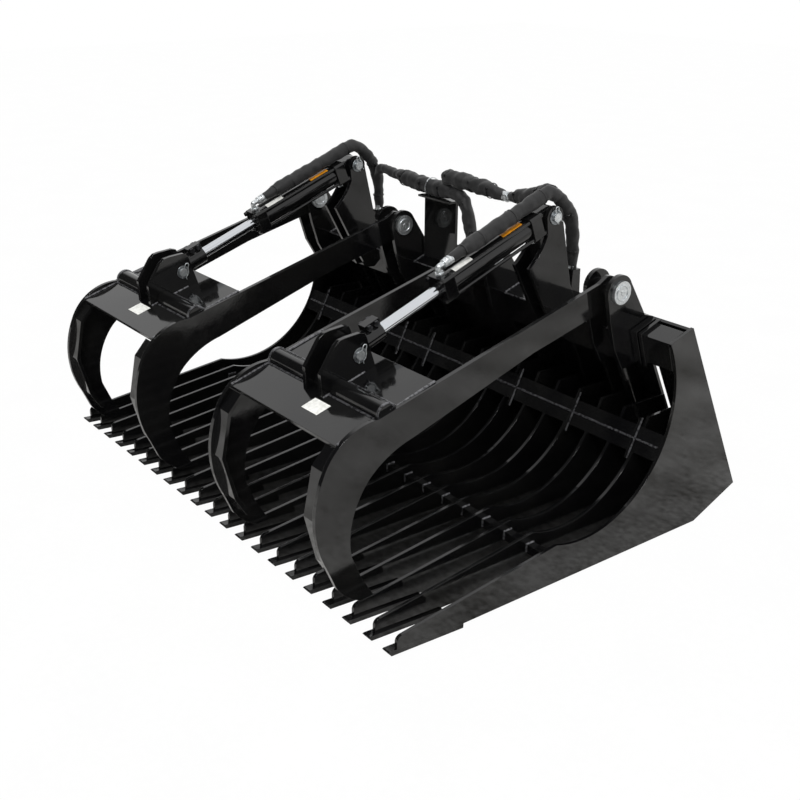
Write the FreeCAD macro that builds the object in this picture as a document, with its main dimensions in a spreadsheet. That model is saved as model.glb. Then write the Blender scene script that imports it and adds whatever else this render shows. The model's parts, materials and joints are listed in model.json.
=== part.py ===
"""Skeleton bucket with twin hydraulic grapples, as a parametric document.

The model is laid out from the tooth tips: X runs across the bucket, Y rearward and
Z up from the ground.  The finished pieces are then shifted so that the origin lies at
the centre of the footprint, on the ground.
"""
import FreeCAD, Part
import math
import os
from FreeCAD import Placement, Rotation, Vector

DIMENSIONS = {
    "overall_width": 1724.0,
    "plate_thickness": 9.525,
    "inner_tines": 19,
    "heavy_plate": 12.7,
    "weld_gap": 0.1,
    "running_clearance": 0.05,
    # bucket profile
    "nose_y": 25.0,
    "nose_top": 57.6,
    "tooth_rear": 231.3,
    "tooth_width": 25.4,
    "tooth_slope": 3.42,
    "heel_y": 1119.9,
    "rear_low_y": 1294.1,
    "rear_low_z": 71.6,
    "rear_top_y": 1017.8,
    "rear_top_z": 612.9,
    "tine_top": 337.0,
    "strip_width": 76.2,
    "cross_bar_size": 25.4,
    "cross_bar_y": 535.8,
    "cross_bar_z": 80.0,
    # torque box and top tube
    "box_tilt": 19.0,
    "box_front_y": 899.3,
    "box_front_z": 584.2,
    "box_depth": 105.0,
    "box_drop": 96.0,
    "tube_depth": 63.5,
    "tube_drop": 88.9,
    "tube_wall": 6.35,
    "tube_inset": 30.0,
    "tube_lowering": 10.0,
    "collar_width": 10.0,
    "collar_pitch": 17.0,
    "collar_rim": 8.0,
    # back of the bucket
    "carrier_inset": 183.0,
    "slit_width": 21.0,
    "plate_foot": 60.0,
    "upright_depth": 66.0,
    "upright_foot": 254.0,
    "attach_half_width": 571.5,
    "attach_lip": 45.0,
    "top_flat": 80.0,
    "foot_flat": 20.0,
    "slot_length": 100.0,
    "slot_width": 32.0,
    "slot_spacing": 830.0,
    # grapples
    "grapple_inset": 406.0,
    "claw_half_spacing": 240.4,
    "pivot_y": 853.9,
    "pivot_z": 712.1,
    "pivot_radius": 15.875,
    "bushing_radius": 22.2,
    "pivot_head_radius": 31.5,
    "pivot_head_thickness": 9.0,
    "pin_overhang": 10.0,
    "ear_offset": 38.0,
    "ear_radius": 46.0,
    "stiffener_width": 45.0,
    "cross_tube_radius": 27.0,
    "cross_tube_wall": 6.0,
    "cross_tube_y": 125.0,
    "cross_tube_rise": -2.0,
    "vent_radius": 3.0,
    # hydraulic cylinders
    "base_pin_y": 855.7,
    "base_pin_z": 863.2,
    "rod_pin_y": 190.5,
    "rod_pin_z": 614.5,
    "pin_radius": 12.7,
    "pin_half_length": 46.0,
    "tower_offset": 28.65,
    "tower_radius": 30.0,
    "lug_offset": 34.0,
    "eye_radius": 27.0,
    "eye_half_width": 19.5,
    "side_clearance": 1.0,
    "open_pivot_clearance": 15.0,
    "rod_eye_radius": 34.5,
    "rod_eye_clearance": 1.6,
    "cap_size": 70.0,
    "base_cap_start": 48.0,
    "cap_thickness": 37.0,
    "barrel_radius": 30.15,
    "barrel_bore": 25.4,
    "barrel_length": 287.0,
    "rod_radius": 15.875,
    "piston_thickness": 32.0,
    "tie_rod_radius": 5.0,
    "tie_rod_offset": 26.5,
    "nut_radius": 7.5,
    "nut_thickness": 8.0,
    "clamp_start": 612.0,
    "clamp_radius": 26.0,
    "clamp_ear_height": 42.0,
    "clamp_ear_length": 46.0,
    "clamp_ear_half": 14.0,
    "clamp_bolt_head": 8.5,
    "clamp_bolt_height": 7.0,
    # hoses
    "port_radius": 8.0,
    "port_nut": 13.0,
    "port_run": 28.0,
    "sleeve_radius": 22.0,
    "sleeve_neck_radius": 12.5,
    "sleeve_neck": 62.0,
    "hose_radius": 9.0,
    "hose_lead": 52.0,
    "cylinder_swing": 61.0,
    "mount_top": 693.0,
    "mount_half_width": 20.0,
    "mount_start": 55.0,
    "mount_end": 95.0,
    "post_start": 39.0,
    "post_end": 49.0,
    "centre_sleeve_radius": 20.0,
    "ledge_top": 805.0,
    "ledge_plate": 6.0,
}

doc = FreeCAD.newDocument("GrappleBucket")
sheet = doc.addObject("Spreadsheet::Sheet", "Dims")
for row, (alias, value) in enumerate(DIMENSIONS.items(), start=1):
    sheet.set("A%d" % row, alias)
    sheet.set("B%d" % row, "%s" % value)
    sheet.setAlias("B%d" % row, alias)
doc.recompute()
D = {alias: float(sheet.get(alias)) for alias in DIMENSIONS}

PARTS = {}

class Bend:
    """A circular edge of an outline, from the last point through mid to end."""

    def __init__(self, mid, end):
        self.mid = mid
        self.end = end


def vec(point):
    return Vector(point[0], point[1], 0)


def edges_of(outline):
    """Edges of a closed outline whose items are points or Bends."""
    first = outline[0]
    here = first
    edges = []
    for item in list(outline[1:]) + [first]:
        if isinstance(item, Bend):
            edges.append(Part.Arc(vec(here), vec(item.mid), vec(item.end)))
            here = item.end
        elif math.dist(here, item) > 1e-6:
            edges.append(Part.LineSegment(vec(here), vec(item)))
            here = item
    return edges


def circle(centre, radius):
    return [Part.Circle(vec(centre), Vector(0, 0, 1), radius)]


class Piece:
    """One sub-part: a body whose sketches lie across X ("YZ") or across Z ("XY")."""

    def __init__(self, name):
        self.name = name
        self.body = doc.addObject("PartDesign::Body", name)
        self.body.AllowCompound = True
        self.body.Label = name
        self.count = 0
        PARTS[name] = self.body

    def plane(self, role):
        for feature in self.body.Origin.OriginFeatures:
            if feature.Role == role:
                return feature
        raise LookupError(role)

    def sketch(self, curves, at, plane="YZ"):
        """A sketch of the curves on the plane shifted by at, a number or a formula."""
        self.count += 1
        sketch = self.body.newObject("Sketcher::SketchObject", "%s_sketch%d" % (self.name, self.count))
        sketch.AttachmentSupport = [(self.plane(plane + "_Plane"), "")]
        sketch.MapMode = "FlatFace"
        if isinstance(at, str):
            sketch.setExpression("AttachmentOffset.Base.z", at)
        else:
            sketch.AttachmentOffset = Placement(Vector(0, 0, at), Rotation())
        sketch.addGeometry(curves, False)
        return sketch

    def pad(self, curves, at, length, plane="YZ"):
        """Pads the curves from at over a length, a number or a formula of the sheet."""
        sketch = self.sketch(curves, at, plane)
        pad = self.body.newObject("PartDesign::Pad", "%s_pad%d" % (self.name, self.count))
        pad.Profile = sketch
        if isinstance(length, str):
            pad.setExpression("Length", length)
        else:
            pad.Length = length
        doc.recompute()
        return pad

    def pocket(self, curves, at, plane="YZ"):
        """Cuts the curves through everything, both ways from at."""
        before = self.body.Shape.Volume
        sketch = self.sketch(curves, at, plane)
        pocket = self.body.newObject("PartDesign::Pocket", "%s_pocket%d" % (self.name, self.count))
        pocket.Profile = sketch
        pocket.Type = "ThroughAll"
        pocket.Midplane = True
        doc.recompute()
        if not self.body.Shape.Volume < before:
            raise RuntimeError("%s: a cut removed nothing" % self.name)
        return pocket

    def row(self, feature, pitch, count):
        """Repeats a feature count times along X, pitch apart."""
        pattern = self.body.newObject("PartDesign::LinearPattern", "%s_row%d" % (self.name, self.count))
        pattern.Originals = [feature]
        pattern.Direction = (self.plane("X_Axis"), [""])
        pattern.Length = pitch * (count - 1)
        pattern.Occurrences = count
        self.body.Tip = pattern
        doc.recompute()

    def mirror(self, features):
        """Repeats features on the other side of the middle plane."""
        mirrored = self.body.newObject("PartDesign::Mirrored", "%s_mirror%d" % (self.name, self.count))
        mirrored.Originals = features
        mirrored.MirrorPlane = (self.plane("YZ_Plane"), [""])
        self.body.Tip = mirrored
        doc.recompute()

    def place(self, base, turn=None):
        self.body.Placement = Placement(base, turn or Rotation())


def tube_along(route, radius):
    """A round bar along straight runs that tangent arcs join, one arc at each inner point."""
    points = [Vector(*place) for place in route]
    here = points[0]
    edges = []
    for before, corner, after in zip(points, points[1:], points[2:]):
        run = min(before.distanceToPoint(corner), after.distanceToPoint(corner))
        back = (before - corner).normalize()
        ahead = (after - corner).normalize()
        half_turn = (math.pi - back.getAngle(ahead)) / 2
        bend = 0.45 * run / math.tan(half_turn)
        start = corner + back * (0.45 * run)
        end = corner + ahead * (0.45 * run)
        middle = corner + (back + ahead).normalize() * (bend / math.cos(half_turn) - bend)
        edges.append(Part.LineSegment(here, start).toShape())
        edges.append(Part.Arc(start, middle, end).toShape())
        here = end
        print("arc radius", round(bend, 1), "for a diameter of", 2 * radius)
    edges.append(Part.LineSegment(here, points[-1]).toShape())
    path = Part.Wire(edges)
    ring = Part.Wire([Part.makeCircle(radius, points[0], points[1] - points[0])])
    bar = path.makePipe(Part.Face(ring))
    if abs(bar.Volume / (path.Length * math.pi * radius ** 2) - 1) > 0.01:
        raise RuntimeError("a tube's volume differs from its length times its section")
    return bar


def shaped_part(name, shapes):
    """A sub-part whose solids are made directly, not from sketches."""
    feature = doc.addObject("Part::Feature", name)
    feature.Label = name
    feature.Shape = shapes[0] if len(shapes) == 1 else Part.makeCompound(shapes)
    PARTS[name] = feature
    return feature


def shifted(point, along, across, direction):
    """A point moved along a direction and across it, to its left."""
    dy, dz = direction
    return (point[0] + along * dy - across * dz, point[1] + along * dz + across * dy)


# Derived places of the bucket
HALF_WIDTH = D["overall_width"] / 2
PLATE = D["plate_thickness"]
HEAVY = D["heavy_plate"]
SIDE_INNER = HALF_WIDTH - PLATE
TINE_COUNT = int(D["inner_tines"])
PITCH = (D["overall_width"] - PLATE) / (TINE_COUNT + 1)
GAP = D["weld_gap"]
GRAPPLE_CENTRE = HALF_WIDTH - D["grapple_inset"]
OUTER_EAR = GRAPPLE_CENTRE + D["claw_half_spacing"] + D["ear_offset"]

HEEL = (D["heel_y"], 0.0)
REAR_LOW = (D["rear_low_y"], D["rear_low_z"])
REAR_TOP = (D["rear_top_y"], D["rear_top_z"])
REAR_LENGTH = math.dist(REAR_LOW, REAR_TOP)
REAR_UP = ((REAR_TOP[0] - REAR_LOW[0]) / REAR_LENGTH, (REAR_TOP[1] - REAR_LOW[1]) / REAR_LENGTH)

SLOPE = math.radians(D["tooth_slope"])
TOOTH_BACK = (-math.cos(SLOPE), math.sin(SLOPE))
TOOTH_LOW = (D["tooth_rear"], 0.0)
TOOTH_TOP = shifted(TOOTH_LOW, 0, -HEAVY, TOOTH_BACK)


def tooth_top_at(y):
    """Height of the tooth bar's upper face at a distance y from the tips."""
    return TOOTH_TOP[1] + (TOOTH_TOP[0] - y) * math.tan(SLOPE)


NOSE_LOW = (D["nose_y"], tooth_top_at(D["nose_y"]))
NOSE_CORNER = 15.0
TOP_START = (344.7, 95.6)
HUMP = (546.8, 119.7)
THROAT = (938.0, 278.0)
SIDE_TOP = (930.1, 585.1)
SEAM = (940.2, 278.2)
STRIP_RISE = math.atan2(336.9 - 229.5, 965.9 - 911.6)
STRIP_UP = (math.cos(STRIP_RISE), math.sin(STRIP_RISE))


def rear_point(along, inward=0.0):
    """A point of the rear line, measured up from its foot and into the bucket."""
    return shifted(REAR_LOW, along, inward, REAR_UP)


def rear_at(z, inward=0.0):
    """The rear line, moved into the bucket, at height z."""
    foot = rear_point(0, inward)
    along = (z - foot[1]) / REAR_UP[1]
    return (foot[0] + along * REAR_UP[0], z)


def front_profile():
    """The lower and front edges that all upright plates share, from heel to hump."""
    return [
        HEEL,
        TOOTH_TOP,
        NOSE_LOW,
        (D["nose_y"], D["nose_top"] - NOSE_CORNER),
        Bend((D["nose_y"] + 4.4, D["nose_top"] - 4.4 + 1.0), (D["nose_y"] + NOSE_CORNER, D["nose_top"] + 1.8)),
        TOP_START,
        HUMP,
    ]


def side_outline():
    return front_profile() + [Bend(THROAT, SIDE_TOP), REAR_TOP, REAR_LOW]


def circle_through(a, b, c):
    """Centre and radius of the circle through three points."""
    round_edge = Part.Circle(vec(a), vec(b), vec(c))
    return (round_edge.Center.x, round_edge.Center.y), round_edge.Radius


THROAT_CENTRE, THROAT_RADIUS = circle_through(HUMP, THROAT, SIDE_TOP)


def throat_point(y_or_z, by_height=False):
    """A point of the throat arc at a given y, or at a given height."""
    cy, cz = THROAT_CENTRE
    if by_height:
        return (cy + math.sqrt(THROAT_RADIUS ** 2 - (y_or_z - cz) ** 2), y_or_z)
    return (y_or_z, cz - math.sqrt(THROAT_RADIUS ** 2 - (y_or_z - cy) ** 2))


# The strip lies in front of the tines, so their edge steps back behind it.
STRIP_LOW_BACK = shifted(SEAM, -D["strip_width"] / 2, -PLATE - GAP, STRIP_UP)
STRIP_LOW_FRONT = shifted(SEAM, -D["strip_width"] / 2 - GAP, 0, STRIP_UP)
TINE_STEP = STRIP_LOW_FRONT
STEP_DROP = throat_point(TINE_STEP[0])[1] - TINE_STEP[1]
STRIP_BACK_TOP_ALONG = (D["tine_top"] - STRIP_LOW_BACK[1]) / STRIP_UP[1]
TINE_CREST = shifted(STRIP_LOW_BACK, STRIP_BACK_TOP_ALONG, 0, STRIP_UP)


def tine_outline():
    middle = shifted(throat_point((HUMP[0] + TINE_STEP[0]) / 2), 0, -STEP_DROP / 2, (1, 0))
    inset = PLATE + GAP
    return front_profile() + [
        Bend(middle, TINE_STEP),
        shifted(STRIP_LOW_BACK, -GAP, 0, STRIP_UP),
        TINE_CREST,
        rear_at(D["tine_top"], inset),
        rear_point(0, inset),
    ]


CROSS_BAR = (D["cross_bar_y"], D["cross_bar_z"])


def square(centre, half):
    y, z = centre
    return edges_of([(y - half, z - half), (y + half, z - half), (y + half, z + half), (y - half, z + half)])


def make_plates():
    """The two outer side plates and the inner tines, threaded on the front cross bar."""
    right = Piece("side_plate_right")
    right.pad(edges_of(side_outline()), "Dims.overall_width / 2 - Dims.plate_thickness", "Dims.plate_thickness")
    left = Piece("side_plate_left")
    left.pad(edges_of(side_outline()), "-Dims.overall_width / 2", "Dims.plate_thickness")
    hole = square(CROSS_BAR, D["cross_bar_size"] / 2 + GAP)
    half = TINE_COUNT // 2
    groups = {
        "tines_outer_left": (-half, -half // 2 - 1),
        "tines_inner_left": (-half // 2, -1),
        "tine_centre": (0, 0),
        "tines_inner_right": (1, -(-half // 2)),
        "tines_outer_right": (-(-half // 2) + 1, half),
    }
    for name, (first, last) in groups.items():
        piece = Piece(name)
        pad = piece.pad(edges_of(tine_outline()) + hole, first * PITCH - PLATE / 2, "Dims.plate_thickness")
        if last > first:
            piece.row(pad, PITCH, last - first + 1)


def make_teeth():
    """Flat tooth bars under the plates, with a chisel tip."""
    piece = Piece("tooth_bars")
    reach = (TOOTH_LOW[0] - 8.7) / math.cos(SLOPE)
    tip_low = shifted(TOOTH_LOW, reach, 0, TOOTH_BACK)
    outline = [
        TOOTH_LOW,
        TOOTH_TOP,
        (4.0, tooth_top_at(4.0)),
        (0.0, 24.4),
        tip_low,
    ]
    half = TINE_COUNT // 2
    inner = piece.pad(edges_of(outline), -half * PITCH - D["tooth_width"] / 2, "Dims.tooth_width")
    piece.row(inner, PITCH, TINE_COUNT)
    piece.pad(edges_of(outline), "-Dims.overall_width / 2", "Dims.tooth_width")
    piece.pad(edges_of(outline), "Dims.overall_width / 2 - Dims.tooth_width", "Dims.tooth_width")


def make_cross_members():
    """The bar through the tines and the flat strip across the throat."""
    bar = Piece("front_cross_bar")
    bar.pad(square(CROSS_BAR, D["cross_bar_size"] / 2), -SIDE_INNER, 2 * SIDE_INNER)
    strip = Piece("rear_strip")
    low = shifted(SEAM, -D["strip_width"] / 2, 0, STRIP_UP)
    high = shifted(SEAM, D["strip_width"] / 2, 0, STRIP_UP)
    outline = [low, high, shifted(high, 0, -PLATE, STRIP_UP), shifted(low, 0, -PLATE, STRIP_UP)]
    strip.pad(edges_of(outline), -SIDE_INNER, 2 * SIDE_INNER)


# Places of the ribs in pitches of the tines, from the middle
RIB_PITCHES = (1.633, 3.336, 6.136, 8.866)
RIB_LENGTH = 120.4
RIB_PROUD = 3.0


def make_ribs():
    """Short ribs on edge across the strip, standing a little proud of its face."""
    ribs = Piece("rear_ribs")
    low = shifted(SEAM, -RIB_LENGTH / 2, 0, STRIP_UP)
    high = shifted(SEAM, RIB_LENGTH / 2, 0, STRIP_UP)
    outline = [low, high, shifted(high, 0, RIB_PROUD, STRIP_UP), shifted(low, 0, RIB_PROUD, STRIP_UP)]
    pads = []
    for pitches in RIB_PITCHES:
        pads.append(ribs.pad(edges_of(outline), pitches * PITCH - PLATE / 2, "Dims.plate_thickness"))
    ribs.mirror(pads)


# Torque box axes: TILT_BACK runs rearward along its top, TILT_DOWN down its front face.
TILT = math.radians(D["box_tilt"])
TILT_BACK = (math.cos(TILT), math.sin(TILT))
TILT_DOWN = (math.sin(TILT), -math.cos(TILT))


def tilted(corner, back, down):
    return (
        corner[0] + back * TILT_BACK[0] + down * TILT_DOWN[0],
        corner[1] + back * TILT_BACK[1] + down * TILT_DOWN[1],
    )


BOX = (D["box_front_y"], D["box_front_z"])
BOX_HALF = OUTER_EAR - HEAVY / 2 - GAP
TUBE_START = OUTER_EAR + HEAVY / 2 + GAP


def tilted_box(corner, back, down, inset=0.0):
    """A rectangle in the box's axes, shrunk by inset on all sides."""
    return [
        tilted(corner, inset, inset),
        tilted(corner, back - inset, inset),
        tilted(corner, back - inset, down - inset),
        tilted(corner, inset, down - inset),
    ]


TUBE = tilted(BOX, D["tube_inset"], D["tube_lowering"])


def make_torque_box():
    """The hollow box across the back, the tube stubs at its ends and their collars."""
    size = (D["box_depth"], D["box_drop"])
    box = Piece("torque_box")
    box.pad(
        edges_of(tilted_box(BOX, *size)) + edges_of(tilted_box(BOX, *size, inset=PLATE)),
        -BOX_HALF,
        2 * BOX_HALF,
    )
    tubes = Piece("top_tubes")
    tube_size = (D["tube_depth"], D["tube_drop"])
    pad = tubes.pad(
        edges_of(tilted_box(TUBE, *tube_size)) + edges_of(tilted_box(TUBE, *tube_size, inset=D["tube_wall"])),
        TUBE_START,
        SIDE_INNER - TUBE_START,
    )
    tubes.mirror([pad])
    collars = Piece("tube_collars")
    rim = D["collar_rim"]
    ring = edges_of(tilted_box(TUBE, *tube_size, inset=-rim)) + edges_of(tilted_box(TUBE, *tube_size, inset=-GAP))
    pads = [collars.pad(ring, TUBE_START + step * D["collar_pitch"], "Dims.collar_width") for step in range(2)]
    collars.mirror(pads)


CARRIER = PLATE + GAP
CARRIER_HALF = HALF_WIDTH - D["carrier_inset"]
FOOT = D["plate_foot"]
FOOT_SHELF = FOOT + D["foot_flat"]
FOOT_TOP = FOOT_SHELF + HEAVY
TOP_EDGE = 4.0
LIP_ROOT = 30.0
LIP_TURN = math.radians(45)


def rear_band(low, high):
    """A stretch of plate on the rear line, from low to high along it."""
    return [rear_point(low), rear_point(high), rear_point(high, PLATE), rear_point(low, PLATE)]


def make_back():
    """Carrier plate, wing plates, and the quick-attach angles above and below the carrier."""
    high = REAR_LENGTH - TOP_EDGE
    flat_low = REAR_LENGTH - D["top_flat"]
    width = 2 * CARRIER_HALF
    carrier = Piece("carrier_plate")
    carrier.pad(edges_of(rear_band(FOOT_TOP + GAP, flat_low - GAP)), -CARRIER_HALF, width)
    wings = Piece("wing_plates")
    wing_inner = CARRIER_HALF + D["slit_width"]
    pad = wings.pad(edges_of(rear_band(FOOT, high)), wing_inner, SIDE_INNER - wing_inner)
    wings.mirror([pad])
    lip = D["attach_lip"]
    top = Piece("attach_top_lip")
    top.pad(edges_of(rear_band(flat_low, high)), -CARRIER_HALF, width)
    root = rear_point(REAR_LENGTH - LIP_ROOT)
    head = rear_point(REAR_LENGTH - LIP_ROOT + HEAVY / math.sin(LIP_TURN))
    lip_dir = (
        -REAR_UP[0] * math.cos(LIP_TURN) + REAR_UP[1] * math.sin(LIP_TURN),
        -REAR_UP[1] * math.cos(LIP_TURN) - REAR_UP[0] * math.sin(LIP_TURN),
    )
    outline = [root, head, shifted(head, lip, 0, lip_dir), shifted(root, lip - HEAVY, 0, lip_dir)]
    top.pad(edges_of(outline), "-Dims.attach_half_width", "2 * Dims.attach_half_width")
    foot = Piece("attach_foot_lip")
    foot.pad(edges_of(rear_band(FOOT, FOOT_TOP)), -CARRIER_HALF, width)
    shelf = [rear_point(FOOT_SHELF), rear_point(FOOT_TOP), rear_point(FOOT_TOP, -lip), rear_point(FOOT_SHELF, -lip)]
    foot.pad(edges_of(shelf), "-Dims.attach_half_width", "2 * Dims.attach_half_width")
    near = rear_point(FOOT_TOP)[0] + (lip - D["slot_width"] / 2) / 2
    slots = []
    for centre in (-D["slot_spacing"] / 2, D["slot_spacing"] / 2):
        left = centre - D["slot_length"] / 2
        right = centre + D["slot_length"] / 2
        far = near + D["slot_width"] / 2
        slots += edges_of([(left, near), (right, near), (right, far), (left, far)])
    foot.pocket(slots, 0.0, "XY")


def upright_head():
    """Where the uprights' front line meets the underside of the box."""
    under = tilted(BOX, 0, D["box_drop"])
    slope = TILT_BACK[1] / TILT_BACK[0]
    front = rear_point(0, CARRIER + D["upright_depth"])
    run = REAR_UP[0] / REAR_UP[1]
    y = (front[0] + (under[1] - slope * under[0] - front[1]) * run) / (1 - slope * run)
    return (y, under[1] + slope * (y - under[0]))


def upright_outline(foot):
    """An upright from the box down to foot, against the carrier plate."""
    corner = tilted(BOX, D["box_depth"], D["box_drop"])
    front = rear_at(foot, CARRIER + D["upright_depth"])
    return [upright_head(), front, rear_at(foot, CARRIER), rear_at(corner[1], CARRIER), corner]


def make_uprights():
    """Plates on edge between the box, the carrier plate and the tines."""
    piece = Piece("uprights")
    beside_tine = (PLATE + HEAVY) / 2 + GAP
    long_at = [5 * PITCH + beside_tine, 6.43 * PITCH, 7 * PITCH + beside_tine]
    inner_claw = GRAPPLE_CENTRE - D["claw_half_spacing"]
    short_at = [inner_claw - D["ear_offset"], inner_claw + D["ear_offset"]]
    pads = []
    for places, foot in ((long_at, D["upright_foot"]), (short_at, D["tine_top"])):
        for x in places:
            pads.append(piece.pad(edges_of(upright_outline(foot)), x - HEAVY / 2, "Dims.heavy_plate"))
    piece.mirror(pads)


PIVOT = (D["pivot_y"], D["pivot_z"])
BASE_PIN = (D["base_pin_y"], D["base_pin_z"])
ROD_PIN = (D["rod_pin_y"], D["rod_pin_z"])


# Corners of the ears and towers in the box's axes: back along its top and down its front
EAR_FRONT = ((-53.8, -69.8), (-56.2, 17.3), (-41.3, 87.4))
EAR_REAR = (74.2, -22.9)
EAR_SEAT = 78.0
END_PLATE_BELOW = 15.0
TOWER_FRONT = ((-55.5, -48.5), (-31.0, 69.0))
TOWER_REAR = (55.7, -62.2)
TOWER_SEAT = 62.0
SEAT_SHORT = 14.0


def over_box(front, rear, seat):
    """The lower edge of a plate that sits over the front top corner of the box."""
    corners = list(front) + [(-GAP, D["box_drop"] - SEAT_SHORT), (-GAP, -GAP), (seat, -GAP), rear]
    return [tilted(BOX, *corner) for corner in corners]


def polar(centre, radius, degrees):
    angle = math.radians(degrees)
    return (centre[0] + radius * math.cos(angle), centre[1] + radius * math.sin(angle))


def make_ears():
    """Eight ears for the claws' pivot pins; the outermost two close the ends of the box."""
    radius = D["ear_radius"]
    crown = [polar(PIVOT, radius, 25), Bend(polar(PIVOT, radius, 100), polar(PIVOT, radius, 205))]
    bore = circle(PIVOT, D["pivot_radius"] + D["running_clearance"])
    ears = Piece("pivot_ears")
    outline = crown + over_box(EAR_FRONT, EAR_REAR, EAR_SEAT)
    half = D["claw_half_spacing"]
    offset = D["ear_offset"]
    pads = []
    for from_centre in (-half - offset, -half + offset, half - offset):
        x = GRAPPLE_CENTRE + from_centre - HEAVY / 2
        pads.append(ears.pad(edges_of(outline) + bore, x, "Dims.heavy_plate"))
    ears.mirror(pads)
    ends = Piece("box_end_plates")
    depth = D["box_depth"]
    rear = [tilted(BOX, depth, D["box_drop"] + END_PLATE_BELOW), tilted(BOX, depth, 0), tilted(BOX, *EAR_REAR)]
    outline = crown + [tilted(BOX, *corner) for corner in EAR_FRONT] + rear
    pad = ends.pad(edges_of(outline) + bore, OUTER_EAR - HEAVY / 2, "Dims.heavy_plate")
    ends.mirror([pad])


# The tower's throat, behind the cylinder's base, measured from the base pin
TOWER_WAIST = (-24.2, -47.2)
TOWER_BELLY = Bend((D["base_pin_y"] - 49.7, D["base_pin_z"] - 95.2), (D["base_pin_y"] - 87.7, D["base_pin_z"] - 133.2))


def make_towers():
    """The four tower plates that carry the cylinders' base pins."""
    piece = Piece("cylinder_towers")
    radius = D["tower_radius"]
    outline = [
        polar(BASE_PIN, radius, -10),
        Bend(polar(BASE_PIN, radius, 90), polar(BASE_PIN, radius, 195)),
        (BASE_PIN[0] + TOWER_WAIST[0], BASE_PIN[1] + TOWER_WAIST[1]),
        TOWER_BELLY,
    ] + over_box(TOWER_FRONT, TOWER_REAR, TOWER_SEAT)
    bore = circle(BASE_PIN, D["pin_radius"] + D["running_clearance"])
    pads = []
    for side in (-1, 1):
        x = GRAPPLE_CENTRE + side * D["tower_offset"] - HEAVY / 2
        pads.append(piece.pad(edges_of(outline) + bore, x, "Dims.heavy_plate"))
    piece.mirror(pads)


def make_pivot_pins():
    """Four headed pins, each through two ears and one claw bushing."""
    piece = Piece("pivot_pins")
    reach = D["ear_offset"] + HEAVY / 2
    for centre in (-GRAPPLE_CENTRE, GRAPPLE_CENTRE):
        for claw in (centre - D["claw_half_spacing"], centre + D["claw_half_spacing"]):
            start = claw - reach - D["pin_overhang"]
            piece.pad(circle(PIVOT, D["pivot_radius"]), start, 2 * reach + D["pin_overhang"])
            piece.pad(circle(PIVOT, D["pivot_head_radius"]), claw + reach, "Dims.pivot_head_thickness")


def cross_pin(piece, centre_x, axis):
    piece.pad(circle(axis, D["pin_radius"]), centre_x - D["pin_half_length"], "2 * Dims.pin_half_length")


def make_base_pins():
    piece = Piece("base_pins")
    for centre in (-GRAPPLE_CENTRE, GRAPPLE_CENTRE):
        cross_pin(piece, centre, BASE_PIN)


# Places of the grapple
PLATE_FRONT = (-20.0, 498.5)
PLATE_REAR = (272.0, 587.0)
DECK_ANGLE = math.atan2(PLATE_REAR[1] - PLATE_FRONT[1], PLATE_REAR[0] - PLATE_FRONT[0])
DECK = (math.cos(DECK_ANGLE), math.sin(DECK_ANGLE))


def deck_height(y):
    """Height of the cross plate's top at y."""
    return PLATE_FRONT[1] + (y - PLATE_FRONT[0]) * math.tan(DECK_ANGLE)


CROSS_TUBE = (D["cross_tube_y"], deck_height(D["cross_tube_y"]) + D["cross_tube_rise"])
# Corners of a rod lug; those without a height stand on the deck
LUG_CORNERS = (
    (76.0, None),
    (73.0, 588.0),
    (117.0, 653.0),
    (131.0, 664.5),
    (150.0, 668.0),
    (193.0, 671.5),
    (206.0, 668.0),
    (212.0, 657.0),
    (238.0, None),
)


def claw_outline():
    return [
        (76.1, 75.2),
        (38.0, 140.0),
        (11.0, 207.0),
        Bend((15.4, 300.2), (66.6, 395.6)),
        Bend((123.1, 437.9), (191.4, 464.1)),
        (588.0, 593.0),
        (838.0, 655.0),
        Bend((896.0, 697.0), (846.0, 748.5)),
        (815.0, 731.0),
        (94.3, 539.3),
        Bend((-14.0, 503.5), (-62.9, 439.1)),
        Bend((-89.5, 320.0), (-57.9, 192.1)),
        (-34.5, 135.8),
        Bend((-4.0, 99.0), (36.5, 73.1)),
    ]


def stiffener_outline():
    """A bent flat bar inside the claw's outer edge, tapering out towards the tip."""
    return [
        (-18.0, 487.0),
        (-57.0, 444.0),
        (-83.0, 322.0),
        (-52.0, 196.0),
        (-20.0, 140.0),
        (-9.0, 146.0),
        (-42.0, 201.0),
        (-73.0, 322.0),
        (-48.0, 438.0),
        (-11.0, 480.0),
    ]


def deck_piece(start, end):
    """A stretch of the cross plate, start and end measured along its top."""
    return [
        shifted(PLATE_FRONT, start, 0, DECK),
        shifted(PLATE_FRONT, end, 0, DECK),
        shifted(PLATE_FRONT, end, -PLATE, DECK),
        shifted(PLATE_FRONT, start, -PLATE, DECK),
    ]


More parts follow.
